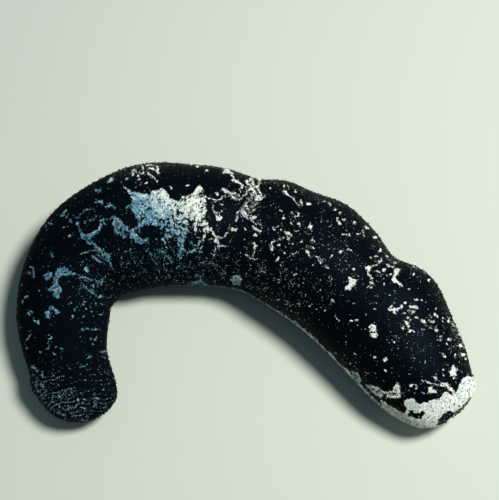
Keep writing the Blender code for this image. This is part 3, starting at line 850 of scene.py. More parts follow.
@functools.cache
def skin_grid(coat_depth, furrow_depth):
    """The skin's rings of places, as a grid.

    They are the smooth wall's, sunk along its normals by the coat's depth and the relief, and over
    the sole further, by the height of the tube feet.
    """
    along, distance, dome = (values[:, None] for values in skin_rings())
    angle = np.linspace(0, 2 * np.pi, SKIN_COLUMNS, endpoint=False)[None, :]
    along, distance, dome, angle = np.broadcast_arrays(along, distance, dome, angle)
    points = hollowed(wall_points(distance, angle, dome), angle)
    straight = straight_places(distance, angle, dome)
    furrows = ring_furrows(along, angle, straight)
    sole = smooth_step(points[..., 2], SOLE_EDGE, 0) * (np.cos(angle) < 0)
    depth = coat_depth + relief_depth(along, angle, straight, furrows, furrow_depth) + SOLE_DEPTH * sole
    points = points - grid_normals(points) * depth[..., None]
    normals = grid_normals(points)
    unwrap = np.stack([along / along.max(), angle / (2 * np.pi)], -1)
    picture, to_camera = picture_of(points)
    facing = (normals * to_camera).sum(-1)
    return Places(along, distance, angle, straight, points, normals, unwrap, picture, facing)


def between(grid, row, column):
    """The places at fractional rows and columns of a grid, as weighed means of the four corners."""
    i = row.astype(int)
    j = column.astype(int)
    k = (j + 1) % SKIN_COLUMNS
    down = row - i
    over = column - j

    def mean(values):
        extra = (1,) * (values.ndim - 2)
        s = down.reshape(-1, *extra)
        t = over.reshape(-1, *extra)
        near = values[i, j] * (1 - t) + values[i, k] * t
        far = values[i + 1, j] * (1 - t) + values[i + 1, k] * t
        return near * (1 - s) + far * s

    found = Places(**{field.name: mean(getattr(grid, field.name)) for field in fields(grid)})
    found.angle = column * 2 * np.pi / SKIN_COLUMNS
    found.unwrap[:, 1] = column / SKIN_COLUMNS
    found.normal = unit(found.normal)
    return found


@functools.cache
def scattered(coat_depth, furrow_depth, per_square_mm, seed, near_to=None):
    """Places strewn evenly over the skin.

    Each is a random place in a random cell, weighed by area. Near_to is a function that tells which
    of the grid's cells are in use at all.
    """
    grid = skin_grid(coat_depth, furrow_depth)
    onward = grid.point[1:] - grid.point[:-1]
    around = (np.roll(grid.point, -1, axis=1) - grid.point)[:-1]
    area = np.linalg.norm(np.cross(onward, around), axis=-1).ravel()
    if near_to:
        area = area * near_to(one_list(grid.chosen(slice(0, -1))))
    rng = np.random.default_rng(seed)
    count = int(area.sum() / MM**2 * per_square_mm)
    row, column = np.divmod(rng.choice(len(area), count, p=area / area.sum()), SKIN_COLUMNS)
    return between(grid, row + rng.random(count), column + rng.random(count))


def one_list(places):
    """A grid of places as one list of places."""
    values = (getattr(places, field.name) for field in fields(places))
    return Places(*(value.reshape(-1, *value.shape[2:]) for value in values))


# Where the sand lies


def pairs(values):
    """A flat list of numbers as rows of x and y."""
    return np.reshape(values, (-1, 2)).astype(float)


def inside(picture, outline):
    """True inside an outline: a level line from the place crosses its sides an odd number of times."""
    x, y = picture[:, 0], picture[:, 1]
    corners = pairs(outline)
    odd = np.zeros(len(picture), bool)
    for (x1, y1), (x2, y2) in zip(corners, np.roll(corners, -1, axis=0)):
        crosses = (y1 > y) != (y2 > y)
        slope = (x2 - x1) / (y2 - y1) if y2 != y1 else 0
        odd ^= crosses & (x < x1 + slope * (y - y1))
    return odd


def gap_to(picture, line):
    """Distance from picture places to a line through points: the least over its straight pieces."""
    least = np.full(len(picture), np.inf)
    for start, end in itertools.pairwise(pairs(line)):
        side = end - start
        share = np.clip((picture - start) @ side / (side @ side), 0, 1)
        least = np.minimum(least, np.linalg.norm(picture - start - share[:, None] * side, axis=1))
    return least


def near(picture, line, reach):
    """The numbers of the places in the line's box, widened by the reach."""
    low = pairs(line).min(axis=0) - reach
    high = pairs(line).max(axis=0) + reach
    return np.flatnonzero(((picture > low) & (picture < high)).all(axis=1))


def disc(picture, x, y, half_width, half_height):
    """How far out of an oval the places are: 0 at its middle, 1 at its edge."""
    return np.hypot((picture[:, 0] - x) / half_width, (picture[:, 1] - y) / half_height)


def noise_at(places, size_in_mm, seed):
    """Noise with features that many millimetres across on the skin. Each use has its own seed."""
    return lattice_noise(places.straight / (size_in_mm * MM), seed)


# The noises that make outlines ragged: size in mm, reach in pixels, and seed
RAGGED_EDGES = ((3.2, 0.7, 31), (1.4, 1.0, 33), (0.7, 0.7, 35))


def wobbled(places):
    """Picture places with ragged noise of three sizes, so that outlines aren't smooth."""
    ragged = 0
    for size, reach, seed in RAGGED_EDGES:
        ragged = ragged + reach * np.stack([noise_at(places, size, seed + i) for i in range(2)], -1)
    return places.picture + ragged


GRAZING = 0.02  # the facing at the body's edge in the picture
SEEN_FROM = 0.14  # the facing from which the picture shows the skin well
OUTLINE_MARGIN = 4  # pixels outside an outline that its ragged edge can reach
FINE_MARGIN = 5  # the same for the cells that the small marks need


def seen(places):
    """1 where the camera sees the place well, easing to 0 at the body's edge."""
    return smooth_step(places.facing, GRAZING, SEEN_FROM)


def near_saddle(places):
    """True for places in the box round the saddle."""
    found = np.zeros(len(places.picture), bool)
    found[near(places.picture, SADDLE, OUTLINE_MARGIN)] = True
    return found & (places.facing > 0)


def near_web(places):
    """True for places close to a small patch, strand or lump."""
    found = np.zeros(len(places.picture), bool)
    for width, *line in (*STRANDS, *((0, *outline) for outline in (*PATCHES, *NETS))):
        at = near(places.picture, line, FINE_MARGIN)
        gap = gap_to(places.picture[at], line)
        found[at] |= (gap < width / 2 + FINE_MARGIN) | inside(places.picture[at], line)
    for x, y, half_width, half_height in np.reshape(LUMPS, (-1, 4)):
        reach = max(half_width, half_height) + OUTLINE_MARGIN
        found[near(places.picture, (x, y), reach)] = True
    return found & (places.facing > 0)


# The sand lies whole where its thickness and the noise together pass 0.75, and is gone under 0.5
SADDLE_THICKNESS = 1.1
GAP_THICKNESS = 0.1


def saddle_cover(places):
    """How much of the skin the saddle's sand covers, 0 to 1: noise eats it away where it is thin."""
    cover = np.zeros(len(places.picture))
    at = near(places.picture, SADDLE, OUTLINE_MARGIN)
    here = places.chosen(at)
    picture = wobbled(here)
    thick = np.full(len(at), SADDLE_THICKNESS)
    for x, y, half_width, half_height, stays in THIN_SADDLE:
        away = disc(picture, x, y, half_width, half_height)
        thick = thick * (1 - (1 - stays) * smooth_step(away, 1.5, 0.5))
    inward = gap_to(picture, (*SADDLE, *SADDLE[:2]))
    thick = thick * (0.75 + 0.25 * smooth_step(inward, 0, 3))
    worn = 1.2 * noise_at(here, 0.7, 41) + 1.0 * noise_at(here, 1.5, 42)
    for x, y, half_width, half_height in np.reshape(GAPS, (-1, 4)):
        thick = np.where(disc(picture, x, y, half_width, half_height) < 1, GAP_THICKNESS, thick)
    cover[at] = inside(picture, SADDLE) * smooth_step(thick + worn, 0.5, 0.75)
    return cover * seen(places)


EDGE_BLUR = 0.2  # pixels to either side of a small mark's edge, over which its sand ends
THINNED_BY = 0.8  # the share of the sand that is gone between the lines of a net
STRAGGLING = 0.4  # the share of the skin that a stray thread covers


def laced(inward, noise, open_from):
    """The share of sand at a depth in from an outline, in pixels.

    The edge is ragged. Deeper in than open_from the sand thins out, except along the lines of a net.
    Thin threads straggle off outside it.
    """
    ragged, net, thread = noise
    edge = smooth_step(inward + 0.9 * ragged, -EDGE_BLUR, EDGE_BLUR)
    thinned = smooth_step(inward - open_from, 0, 0.4) * smooth_step(np.abs(net), 0.12, 0.17)
    outside = smooth_step(inward, -2.4, -0.4) * smooth_step(np.abs(thread), 0.03, 0.015)
    return np.maximum(edge * (1 - THINNED_BY * thinned), STRAGGLING * outside)


# Size in mm and seed of the noises of a ragged edge, a net, and stray threads
LACE_NOISES = ((0.6, 43), (1.3, 45), (1.9, 46))


def web_cover(places):
    """How much of the skin the small patches, strands and lumps cover, 0 to 1."""
    cover = np.zeros(len(places.picture))
    visible = np.flatnonzero(places.facing > GRAZING)
    here = places.chosen(visible)
    picture = wobbled(here)
    noise = np.stack([noise_at(here, size, seed) for size, seed in LACE_NOISES])
    slow = noise_at(here, 2.4, 44)
    # On the back, away from the mouth end's arm, the patches are solid
    open_from = 1.0 + 6 * painted_lit_paleness(here.point) * smooth_step(np.sin(here.angle), -0.75, -0.55)
    found = np.zeros(len(visible))
    for outline in PATCHES:
        at = near(picture, outline, OUTLINE_MARGIN)
        inward = gap_to(picture[at], (*outline, *outline[:2]))
        inward = inward * np.where(inside(picture[at], outline), 1, -1)
        found[at] = np.maximum(found[at], laced(inward - 0.3, noise[:, at], open_from[at] + 0.1))
    for outline in NETS:
        at = near(picture, outline, 1)
        net = smooth_step(np.abs(noise[1, at] + 0.3 * noise[0, at]), 0.03, 0)
        found[at] = np.maximum(found[at], net * inside(picture[at], outline))
    for width, *line in STRANDS:
        at = near(picture, line, width + OUTLINE_MARGIN)
        half_width = width / 2 * np.clip(0.8 + 1.3 * slow[at], 0.3, 1.6) - 0.15
        inward = half_width - gap_to(picture[at], line)
        found[at] = np.maximum(found[at], laced(inward, noise[:, at], open_from[at]))
    for x, y, half_width, half_height in np.reshape(LUMPS, (-1, 4)):
        at = near(picture, (x, y), max(half_width, half_height) + 2)
        inward = (1 - disc(picture[at], x, y, half_width, half_height)) * min(half_width, half_height)
        ragged = inward + 0.7 * noise[0, at] + 0.8 * noise[1, at]
        found[at] = np.maximum(found[at], smooth_step(ragged, -EDGE_BLUR, EDGE_BLUR))
    for x, y, half_width, half_height in np.reshape(GAPS, (-1, 4)):
        at = near(picture, (x, y), max(half_width, half_height))
        found[at] *= disc(picture[at], x, y, half_width, half_height) > 1
    # Towards the edge of the view a small mark stands for a long one, which is broken up
    square_on = smooth_step(here.facing, 0, 0.5)
    whole = 1.3 * square_on + noise_at(here, 2.2, 47) + 0.6 * noise_at(here, 0.9, 48)
    cover[visible] = found * smooth_step(whole, 0.08, 0.38)
    return cover * seen(places)


# The cap: how far its ragged ring reaches on the sides out of view, how far any of it reaches from
# the vent end, and the share of the skin that it covers
CAP_RING = 25 * MM
CAP_REACH = 50 * MM
CAP_COVER = 0.96


def cap_cover(places):
    """How much of the skin the cap at the vent end covers: its outline where seen, a ragged ring behind."""
    shown = inside(wobbled(places), CAP) & ~in_cap_gap(places)
    behind = places.distance > BODY_LENGTH - CAP_RING + 6 * MM * noise_at(places, 7, 51)
    in_reach = places.distance > BODY_LENGTH - CAP_REACH
    return np.where(places.facing > 0, shown, behind) * in_reach * CAP_COVER


def in_cap_gap(places):
    """True in the dark gaps of the cap."""
    picture = wobbled(places)
    return (inside(picture, CAP_GAPS[0]) | inside(picture, CAP_GAPS[1])) & (places.facing > 0)


# The hem: where along the middle line it grows, its least height, and how much it grows
HEM_GROWS = (95 * MM, 285 * MM)
HEM_HEIGHT = 0.8 * MM
HEM_GROWTH = 6.5 * MM
HEM_BEGINS_AT = 45 * MM
# The line of sand where the inner side turns under: where it lies, and where it widens
INNER_LINE = (138 * MM, 305 * MM)
INNER_LINE_WIDENS = (150 * MM, 290 * MM)


def hem_cover(places):
    """Sand from the floor on the lower flanks, in a ragged band that grows higher rearwards.

    Where the inner side of the rear arm turns under, a thin broken line of it shows from above.
    """
    grown = smooth_step(places.distance, *HEM_GROWS)
    top = (HEM_HEIGHT + HEM_GROWTH * grown) * (1 + 0.7 * noise_at(places, 6, 61))
    band = smooth_step(top - places.point[..., 2], 0, 1.2 * MM)
    patchy = 0.5 + 0.8 * noise_at(places, 2.2, 62)
    low_side = (places.normal[..., 2] > -0.85) & (places.distance > HEM_BEGINS_AT)
    hem = np.clip(band * (0.15 + 0.75 * grown) * patchy * 1.3, 0, 1) * low_side
    reach = 0.20 + 0.14 * smooth_step(places.distance, *INNER_LINE_WIDENS)
    reach = reach + 0.12 * noise_at(places, 4, 65)
    line = smooth_step(places.facing, -0.06, -0.01) * smooth_step(reach - places.facing, 0, 0.06)
    broken = smooth_step(noise_at(places, 5, 63) + 1.3 * noise_at(places, 1.1, 64), -0.22, -0.02)
    begin, end = INNER_LINE
    inner = (np.sin(places.angle) < -0.8) & (places.distance > begin) & (places.distance < end)
    return np.maximum(hem, line * broken * inner) * ~in_cap_gap(places)


FAR_COVER = 0.9


def far_cover(places):
    """Webs and lumps of sand on the sides that the photograph doesn't show.

    Threads lie where one noise is near 0, in the areas where a broader noise is high.
    """
    broad = noise_at(places, 26, 71)
    thread = np.abs(noise_at(places, 8, 72) + 0.35 * noise_at(places, 2, 74))
    lump = noise_at(places, 5, 73) + 0.3 * noise_at(places, 1.2, 75)
    webs = smooth_step(thread, 0.05, 0.02) * smooth_step(broad, 0.02, 0.27)
    lumps = smooth_step(lump, 0.52, 0.58) * smooth_step(broad, -0.25, -0.05)
    above = smooth_step(places.normal[..., 2], -0.5, -0.2)
    return np.maximum(webs, lumps) * above * (1 - seen(places)) * FAR_COVER


TIP_RING_SPACING = 2.3 * MM
TIP_RINGS_FADE = (48 * MM, 36 * MM)


def tip_arcs(places):
    """1 on fine broken rings round the mouth end, where its furrows hold dust, and 0 between them."""
    bend = 0.55 * noise_at(places, 9, 83) + 0.22 * noise_at(places, 2.6, 85)
    rings = 0.5 + 0.5 * np.cos(2 * np.pi * (places.along / TIP_RING_SPACING + bend))
    return rings**4 * smooth_step(places.along, *TIP_RINGS_FADE)


# How the specks gather, as factors: lying loose, and on threads; then the same at the mouth end's
# tip, where they also lie on its rings
LOOSE = 0.25
ON_THREADS = 2.6
TIP_LOOSE = 0.26
ON_RINGS = 1.4
ON_RING_THREADS = 2.4
TIP_SPECKS_FADE = (60 * MM, 40 * MM)


def speck_density(places):
    """Scattered grains to a square millimetre.

    They lie in soft fields, clumped and strung along curly threads, and round the mouth end's tip they
    lie on its broken rings. Hardly any stick under the body.
    """
    density = np.full(len(places.picture), EVEN_SPECKS)
    for x, y, half_width, half_height, most in SPECK_FIELDS:
        away = disc(places.picture, x, y, half_width, half_height)
        density = density + most * np.exp(-(away**2)) * (places.facing > -0.2)
    for x, y, half_width, half_height, gone in CLEAN_FIELDS:
        away = disc(places.picture, x, y, half_width, half_height)
        density = density * (1 - gone * np.exp(-(away**2)) * (places.facing > 0))
    curly = np.abs(noise_at(places, 3.1, 81) + 0.3 * noise_at(places, 1.1, 84))
    strung = smooth_step(curly, 0.09, 0.02)
    clumped = np.clip(1 + 1.6 * noise_at(places, 4.5, 82), 0.1, 3)
    at_tip = smooth_step(places.along, *TIP_SPECKS_FADE)
    on_rings = TIP_LOOSE + tip_arcs(places) * (ON_RINGS + ON_RING_THREADS * strung)
    gathered = (1 - at_tip) * (LOOSE + ON_THREADS * strung) + at_tip * on_rings
    above = smooth_step(places.normal[:, 2], -0.85, -0.65)
    return density * clumped * gathered * above


# Sand that covers the skin closely: where it lies, which cells it needs, places tried to a square
# millimetre, the room for one grain and the least and most grain size in mm, how much paler its grains
# are away from the painted shade of the mouth end's arm, a grain's faces, and the pieces, with the
# shares of the body's length where each begins and ends
CLOSE_SAND = (
    (saddle_cover, near_saddle, 34, 0.21, 0.20, 0.38, 0, 10, {"saddle_sand": (0, 2)}),
    (
        web_cover, near_web, 38, 0.20, 0.19, 0.35, 0.15, 10,
        {"fore_web_sand": (0, 0.36), "mid_web_sand": (0.36, 0.62), "hind_web_sand": (0.62, 2)},
    ),
    (cap_cover, None, STREWN, 0.34, 0.30, 0.56, 0.04, 10, {"cap_sand": (0, 2)}),
    (hem_cover, None, STREWN, 0.36, 0.28, 0.52, 0.1, 20, {"hem_sand": (0, 2)}),
    (far_cover, None, STREWN, 0.30, 0.24, 0.46, 0, 20, {"far_sand": (0, 2)}),
)
# How much silt lies under each kind of sand
FILMS = {saddle_cover: 0.75, web_cover: 0.5, cap_cover: 1, hem_cover: 0.7, far_cover: 0.5}
# Pieces of scattered grains: where along the skin each begins and ends, as shares of the body's length
# Dust lies where specks are denser than this level, in this share of how much denser, up to a most
DUST_FROM = 0.3
DUST_SHARE = 0.02
MOST_DUST = 4
SPECK_PIECES = {"fore_specks": (0, 0.28), "mid_specks": (0.28, 0.62), "hind_specks": (0.62, 2)}
SPECK_ROOM = 0.3 * MM
SPECK_FACES = 10
# Sizes in mm: the least, how much more the largest have, and how much more by the floor. The power
# makes most of them fine
SPECK_LEAST = 0.14
SPECK_SPREAD = 0.36
SPECK_POWER = 3.5
SPECK_COARSER = 0.12


# Meshes


def add_piece(name, points, triangles, unwrap, slot, material, smooth=True, **values):
    """A piece from arrays: points, triangles as point numbers, bake map places of corners, and values."""
    if len(triangles) > MOST_TRIANGLES:
        raise RuntimeError(f"{name} has {len(triangles)} triangles, more than {MOST_TRIANGLES}")
    mesh = bpy.data.meshes.new(name)
    mesh.vertices.add(len(points))
    mesh.vertices.foreach_set("co", points.astype(np.float32).ravel())
    mesh.loops.add(triangles.size)
    mesh.loops.foreach_set("vertex_index", triangles.astype(np.int32).ravel())
    mesh.polygons.add(len(triangles))
    mesh.polygons.foreach_set("loop_start", np.arange(0, triangles.size, 3, dtype=np.int32))
    mesh.polygons.foreach_set("use_smooth", np.full(len(triangles), smooth))
    mesh.update(calc_edges=True)
    if mesh.validate():
        raise RuntimeError(f"{name} has faces that can't stand")
    layer = mesh.uv_layers.new(name=BAKE_MAP)
    layer.data.foreach_set("uv", unwrap.astype(np.float32).ravel())
    for key, value in values.items():
        attribute = mesh.attributes.new(key, "FLOAT", "POINT")
        attribute.data.foreach_set("value", value.astype(np.float32).ravel())
    mesh.materials.append(material)
    piece = bpy.data.objects.new(name, mesh)
    bpy.context.scene.collection.objects.link(piece)
    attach(piece, BODY)
    return piece


def turned_triangles(rings, sides):
    """Triangles over rings of points with a pole at each end, and each corner's row and column."""
    row, column = np.meshgrid(np.arange(1, rings), np.arange(sides), indexing="ij")
    first = np.stack([(row, column), (row + 1, column), (row + 1, column + 1)], -1)
    second = np.stack([(row, column), (row + 1, column + 1), (row, column + 1)], -1)
    columns = np.arange(sides)
    none = np.zeros(sides, int)
    top = np.stack([(none, columns), (none + 1, columns), (none + 1, columns + 1)], -1)
    last = none + rings
    bottom = np.stack([(last, columns), (last + 1, columns), (last, columns + 1)], -1)
    corners = [part.reshape(2, -1, 3) for part in (top, first, second, bottom)]
    rows, columns = np.concatenate(corners, axis=1)
    numbers = np.where(rows == 0, 0, 1 + (rows - 1) * sides + columns % sides)
    return np.where(rows > rings, 1 + rings * sides, numbers), rows, columns


def add_copies(name, shape, triangles, disc_places, places, slot, material, smooth, **values):
    """Many copies of a small shape as one piece.

    Shape is the points of every copy, copy by copy. Each copy is a small patch of the bake map, its
    disc places scaled to the patch's radius round the place of its root.
    """
    copies, size = shape.shape[:2]
    every = (triangles[None] + size * np.arange(copies)[:, None, None]).reshape(-1, 3)
    root = np.clip(places.unwrap, PATCH_RADIUS, 1 - PATCH_RADIUS)
    unwrap = (root[:, None, None] + PATCH_RADIUS * disc_places[triangles]).reshape(-1, 2)
    spread = {key: np.repeat(value, size) if value.ndim == 1 else value for key, value in values.items()}
    add_piece(name, shape.reshape(-1, 3), every, unwrap, slot, material, smooth, **spread)


def upright_axes(normal, rng):
    """Two unit directions along the surface, turned at random, for each normal."""
    side = unit(np.cross(normal, unit(rng.normal(size=normal.shape))))
    return side, np.cross(normal, side)


def add_skin(settings):
    """The skin: its grid of rings, closed by a pole at the mouth tip and one in the vent."""
    grid = skin_grid(settings.coat_depth, settings.furrow_depth)
    rings = grid.chosen(slice(1, -1))
    count = len(rings.point)
    poles = grid.point[[0, -1]].mean(axis=1)
    points = np.concatenate([poles[:1], rings.point.reshape(-1, 3), poles[1:]])
    triangles, rows, columns = turned_triangles(count, SKIN_COLUMNS)
    over = grid.unwrap[:, 0, 0]
    middle = np.where((rows == 0) | (rows > count), 0.5, 0)
    unwrap = np.stack([over[rows], (columns + middle) / SKIN_COLUMNS], -1)
    silt = silt_cover(one_list(rings))
    silt = np.concatenate([silt[:1], silt, silt[-1:]])
    # Painted shade: the silt's warmth follows the painted shade of the mouth end's arm
    values = {"silt": silt, "silt_creaminess": painted_lit_warmth(points)}
    skin = add_piece("skin", points, triangles, unwrap, "skin", body_wall(settings), **values)
    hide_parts(*BODY_NODES)


def silt_cover(places):
    """The thin film of silt between and under the grains, 0 to 1."""
    film = [share * cover(places) for cover, share in FILMS.items()]
    dust = DUST_SHARE * np.clip(speck_density(places) - DUST_FROM, 0, MOST_DUST)
    return np.clip(np.maximum.reduce([*film, dust]), 0, 1)


def one_to_a_cell(point, room):
    """The numbers of the places that come first in a cubic cell of that width."""
    cells = np.floor(point / room).astype(np.int64)
    return np.sort(np.unique(cells, axis=0, return_index=True)[1])


# Where the painted shade on the sand gives way to pale, lit sand: along a slanting way in plan, and along x
PAINTED_SHADE_WAY = (0.6, 0.8)
PAINTED_SHADE_ALONG_WAY = (-5 * MM, 23 * MM)
PAINTED_SHADE_ALONG_X = (0, 25 * MM)
# Tones of the grey, pale and palest grains. The darkest are at 0, and bleached ones at 1. The low tones
# also paint the shade on the sand of the mouth end's arm
GREY_TONE = 0.35
PALE_TONE = 0.65
PALEST_TONE = 0.85
# What a grain's tone adds up from: a least tone, chance, less of it where the sand is painted lit, noise,
# and thick sand
LEAST_TONE = 0.04
TONE_CHANCE = 0.44
LESS_CHANCE = 0.08
TONE_NOISES = ((0.45, 0.9, 91), (0.35, 3, 92))  # strength, size in mm and seed
THICK_TONE = 0.62
THICK_POWER = 0.45
THIN_SHARE = 0.45  # how much of the thick sand's tone the thinnest has
# The blue hue of painted shade turns to cream sooner along the body than the painted darkness
PAINTED_WARMTH_SOONER = 2.5  # how much sooner the hue turns along the body than the paleness
# How much paler specks are, how much less so where the sand is painted lit, and how much more on the tip's
# arcs
SPECK_PALER = 0.1
SPECK_DULLER = 0.12
ARC_PALER = 0.25


def painted_lit_paleness(points):
    """0 where the sand of the mouth end's arm is painted darker and blue-grey as shade, 1 for the lit, pale
    sand of the rest.
    """
    x, y = points[..., 0], points[..., 1]
    slanted = smooth_step(PAINTED_SHADE_WAY[0] * x + PAINTED_SHADE_WAY[1] * y, *PAINTED_SHADE_ALONG_WAY)
    return np.maximum(slanted, smooth_step(x, *PAINTED_SHADE_ALONG_X))


def painted_lit_warmth(points):
    """0 for sand painted in the blue hue of shade, 1 for cream, lit sand. The hue turns sooner along the
    body than the painted darkness.
    """
    return np.clip(PAINTED_WARMTH_SOONER * painted_lit_paleness(points), 0, 1)


def tones(places, share, rng):
    """How pale each grain is, up to the palest tone: by chance, by noise, paler in thick sand, and darker
    where shade is painted on the mouth end's arm.
    """
    # Painted shade: pale is the share of painted light, 0 on the mouth end's arm
    pale = painted_lit_paleness(places.point)
    chance = rng.random(len(share)) * (TONE_CHANCE - LESS_CHANCE * pale)
    mottled = sum(strength * noise_at(places, size, seed) for strength, size, seed in TONE_NOISES)
    # Painted shade: thick sand is less pale on the mouth end's arm
    thick = THICK_TONE * pale**THICK_POWER * (THIN_SHARE + (1 - THIN_SHARE) * share)
    return np.clip(LEAST_TONE + chance + mottled + thick, 0, PALEST_TONE)


# The least and most stretch of a grain across, along and upwards, and the jitter of its corners
GRAIN_STRETCH = ((0.8, 0.75, 0.5), (1.3, 1.1, 0.85))
GRAIN_JITTER = (0.82, 1.15)
GRAIN_TILT = 0.25
GRAIN_LIFT = 0.2  # how far a grain's middle lies over the skin, as a share of its half size


def add_grains(name, places, size, tone, settings, seed, faces):
    """Grains of sand: each a lumpy, flattened pebble, turned at random and half sunk in the skin.

    The pebble is a 20-sided ball, or for the finest grains two five-sided pyramids base to base.
    """
    rng = np.random.default_rng(seed)
    if faces == 20:
        bm = bmesh.new()
        bmesh.ops.create_icosphere(bm, subdivisions=1, radius=1)
        pebble = np.array([corner.co for corner in bm.verts])
        triangles = np.array([[corner.index for corner in face.verts] for face in bm.faces])
        bm.free()
    else:
        turn = np.arange(5) * 2 * np.pi / 5
        ring = np.stack([np.cos(turn), np.sin(turn), 0 * turn], -1)
        pebble = np.concatenate([[(0, 0, 1)], ring, [(0, 0, -1)]])
        triangles = turned_triangles(1, 5)[0]
    count = len(places.point)
    tilt = unit(places.normal + rng.normal(scale=GRAIN_TILT, size=(count, 3)))
    side, cross = upright_axes(tilt, rng)
    stretch = rng.uniform(*GRAIN_STRETCH, (count, 3))
    lumpy = pebble * stretch[:, None] * rng.uniform(*GRAIN_JITTER, (count, len(pebble), 1))
    reach = (size / 2)[:, None, None]
    shape = sum(lumpy[..., i : i + 1] * axis[:, None] for i, axis in enumerate((side, cross, tilt)))
    shape = places.point[:, None] + reach * (shape + GRAIN_LIFT * places.normal[:, None])
    # Painted shade: the grains' warmth is low where the mouth end's arm is painted in a blue shade
    values = {"grain_tone": tone, "grain_creaminess": painted_lit_warmth(places.point)}
    material = coral_sand(settings)
    add_copies(name, shape, triangles, pebble[:, :2], places, "sand", material, False, **values)


def add_sand(settings):
    """All the pieces of sand that cover the skin closely."""
    for number, (cover, near_to, tried, room, least, most, paler, faces, pieces) in enumerate(CLOSE_SAND):
        places = scattered(settings.coat_depth, settings.furrow_depth, tried, 1, near_to)
        rng = np.random.default_rng(CLOSE_SEED + number)
        share = cover(places)
        kept = np.flatnonzero(rng.random(len(share)) < share)
        kept = kept[one_to_a_cell(places.point[kept], room * MM)]
        for name, (begin, end) in pieces.items():
            along = places.along[kept] / BODY_LENGTH
            here = fewer(kept[(along >= begin) & (along < end)], MOST_TRIANGLES // faces, rng)
            chosen = places.chosen(here)
            size = rng.uniform(least, most, len(here)) * MM * settings.grain_scale
            # Painted shade: grains are paler where the sand is painted lit, away from the mouth end's arm
            tone = tones(chosen, share[here], rng) + paler * painted_lit_paleness(chosen.point)
            add_grains(name, chosen, size, tone, settings, CLOSE_GRAIN_SEED + number, faces)


def fewer(kept, most, rng):
    """The numbers, thinned at random if there are more than fit."""
    return kept if len(kept) <= most else np.sort(rng.permutation(kept)[:most])


def add_specks(settings):
    """Scattered single grains, mostly very fine, in three pieces along the body.

    They are coarser low on the inner side of the bend, where the sand was stirred up from the floor.
    """
    places = scattered(settings.coat_depth, settings.furrow_depth, STREWN, 2)
    rng = np.random.default_rng(SPECK_SEED)
    density = speck_density(places)
    kept = np.flatnonzero(rng.random(len(density)) < density / STREWN)
    places = places.chosen(kept[one_to_a_cell(places.point[kept], SPECK_ROOM)])
    for number, (name, (begin, end)) in enumerate(SPECK_PIECES.items()):
        share = places.along / BODY_LENGTH
        here = np.flatnonzero((share >= begin) & (share < end))
        here = places.chosen(fewer(here, MOST_TRIANGLES // SPECK_FACES, rng))
        # Painted shade: pale is the share of painted light, 0 where the mouth end's arm is painted in shade
        pale = painted_lit_paleness(here.point)
        coarser = pale * np.clip(-np.sin(here.angle), 0, 1) * (1 - here.normal[:, 2])
        size = SPECK_LEAST + SPECK_SPREAD * rng.random(len(here.point)) ** SPECK_POWER
        size = (size + SPECK_COARSER * coarser) * MM * settings.grain_scale
        tone = tones(here, rng.random(len(size)), rng) + SPECK_PALER - SPECK_DULLER * pale
        tone = tone + ARC_PALER * tip_arcs(here)
        add_grains(name, here, size, tone, settings, SPECK_SEED + 1 + number, SPECK_FACES)


# Small repeated shapes


def turned_copies(root, axis, profile, sides, rng):
    """Small turned shapes, each closed by two poles, from the free tip to the root.

    A point is root + axis * height + (side * cos t + cross * sin t) * radius, for each height and
    radius of the profile, whose first and last radii are 0.
    """
    side, cross = upright_axes(axis, rng)
    turn = np.linspace(0, 2 * np.pi, sides, endpoint=False)[:, None]
    spoke = side[:, None] * np.cos(turn) + cross[:, None] * np.sin(turn)
    height, radius = np.moveaxis(profile, -1, 0)[..., None, None]
    points = root[:, None, None] + axis[:, None, None] * height + spoke[:, None] * radius
    poles = points[:, [0, -1], 0]
    rings = points[:, 1:-1].reshape(len(root), -1, 3)
    inner = np.linspace(0, 1, profile.shape[-2])[1:-1, None, None]
    disc_places = (inner * np.concatenate([np.cos(turn), np.sin(turn)], 1)).reshape(-1, 2)
    shape = np.concatenate([poles[:, :1], rings, poles[:, 1:]], axis=1)
    return shape, np.concatenate([np.zeros((1, 2)), disc_places, np.zeros((1, 2))])


def add_papillae(settings):
    """Papillae on the back and flanks: low, blunt cones of many heights, which hold the sand."""
    rng = np.random.default_rng(PAPILLA_SEED)
    places = scattered(settings.coat_depth, settings.furrow_depth, STREWN, 1)
    upper = np.flatnonzero(places.normal[:, 2] > PAPILLAE_DOWN_TO)
    places = places.chosen(upper[one_to_a_cell(places.point[upper], PAPILLA_ROOM)])
    profile = np.array(PAPILLA_PROFILE) * MM * rng.uniform(*PAPILLA_SCALES, (len(places.point), 1, 1))
    shape, disc_places = turned_copies(places.point, places.normal, profile, PAPILLA_SIDES, rng)
    triangles = turned_triangles(len(PAPILLA_PROFILE) - 2, PAPILLA_SIDES)[0]
    add_copies("papillae", shape, triangles, disc_places, places, "skin", body_wall(settings), True)


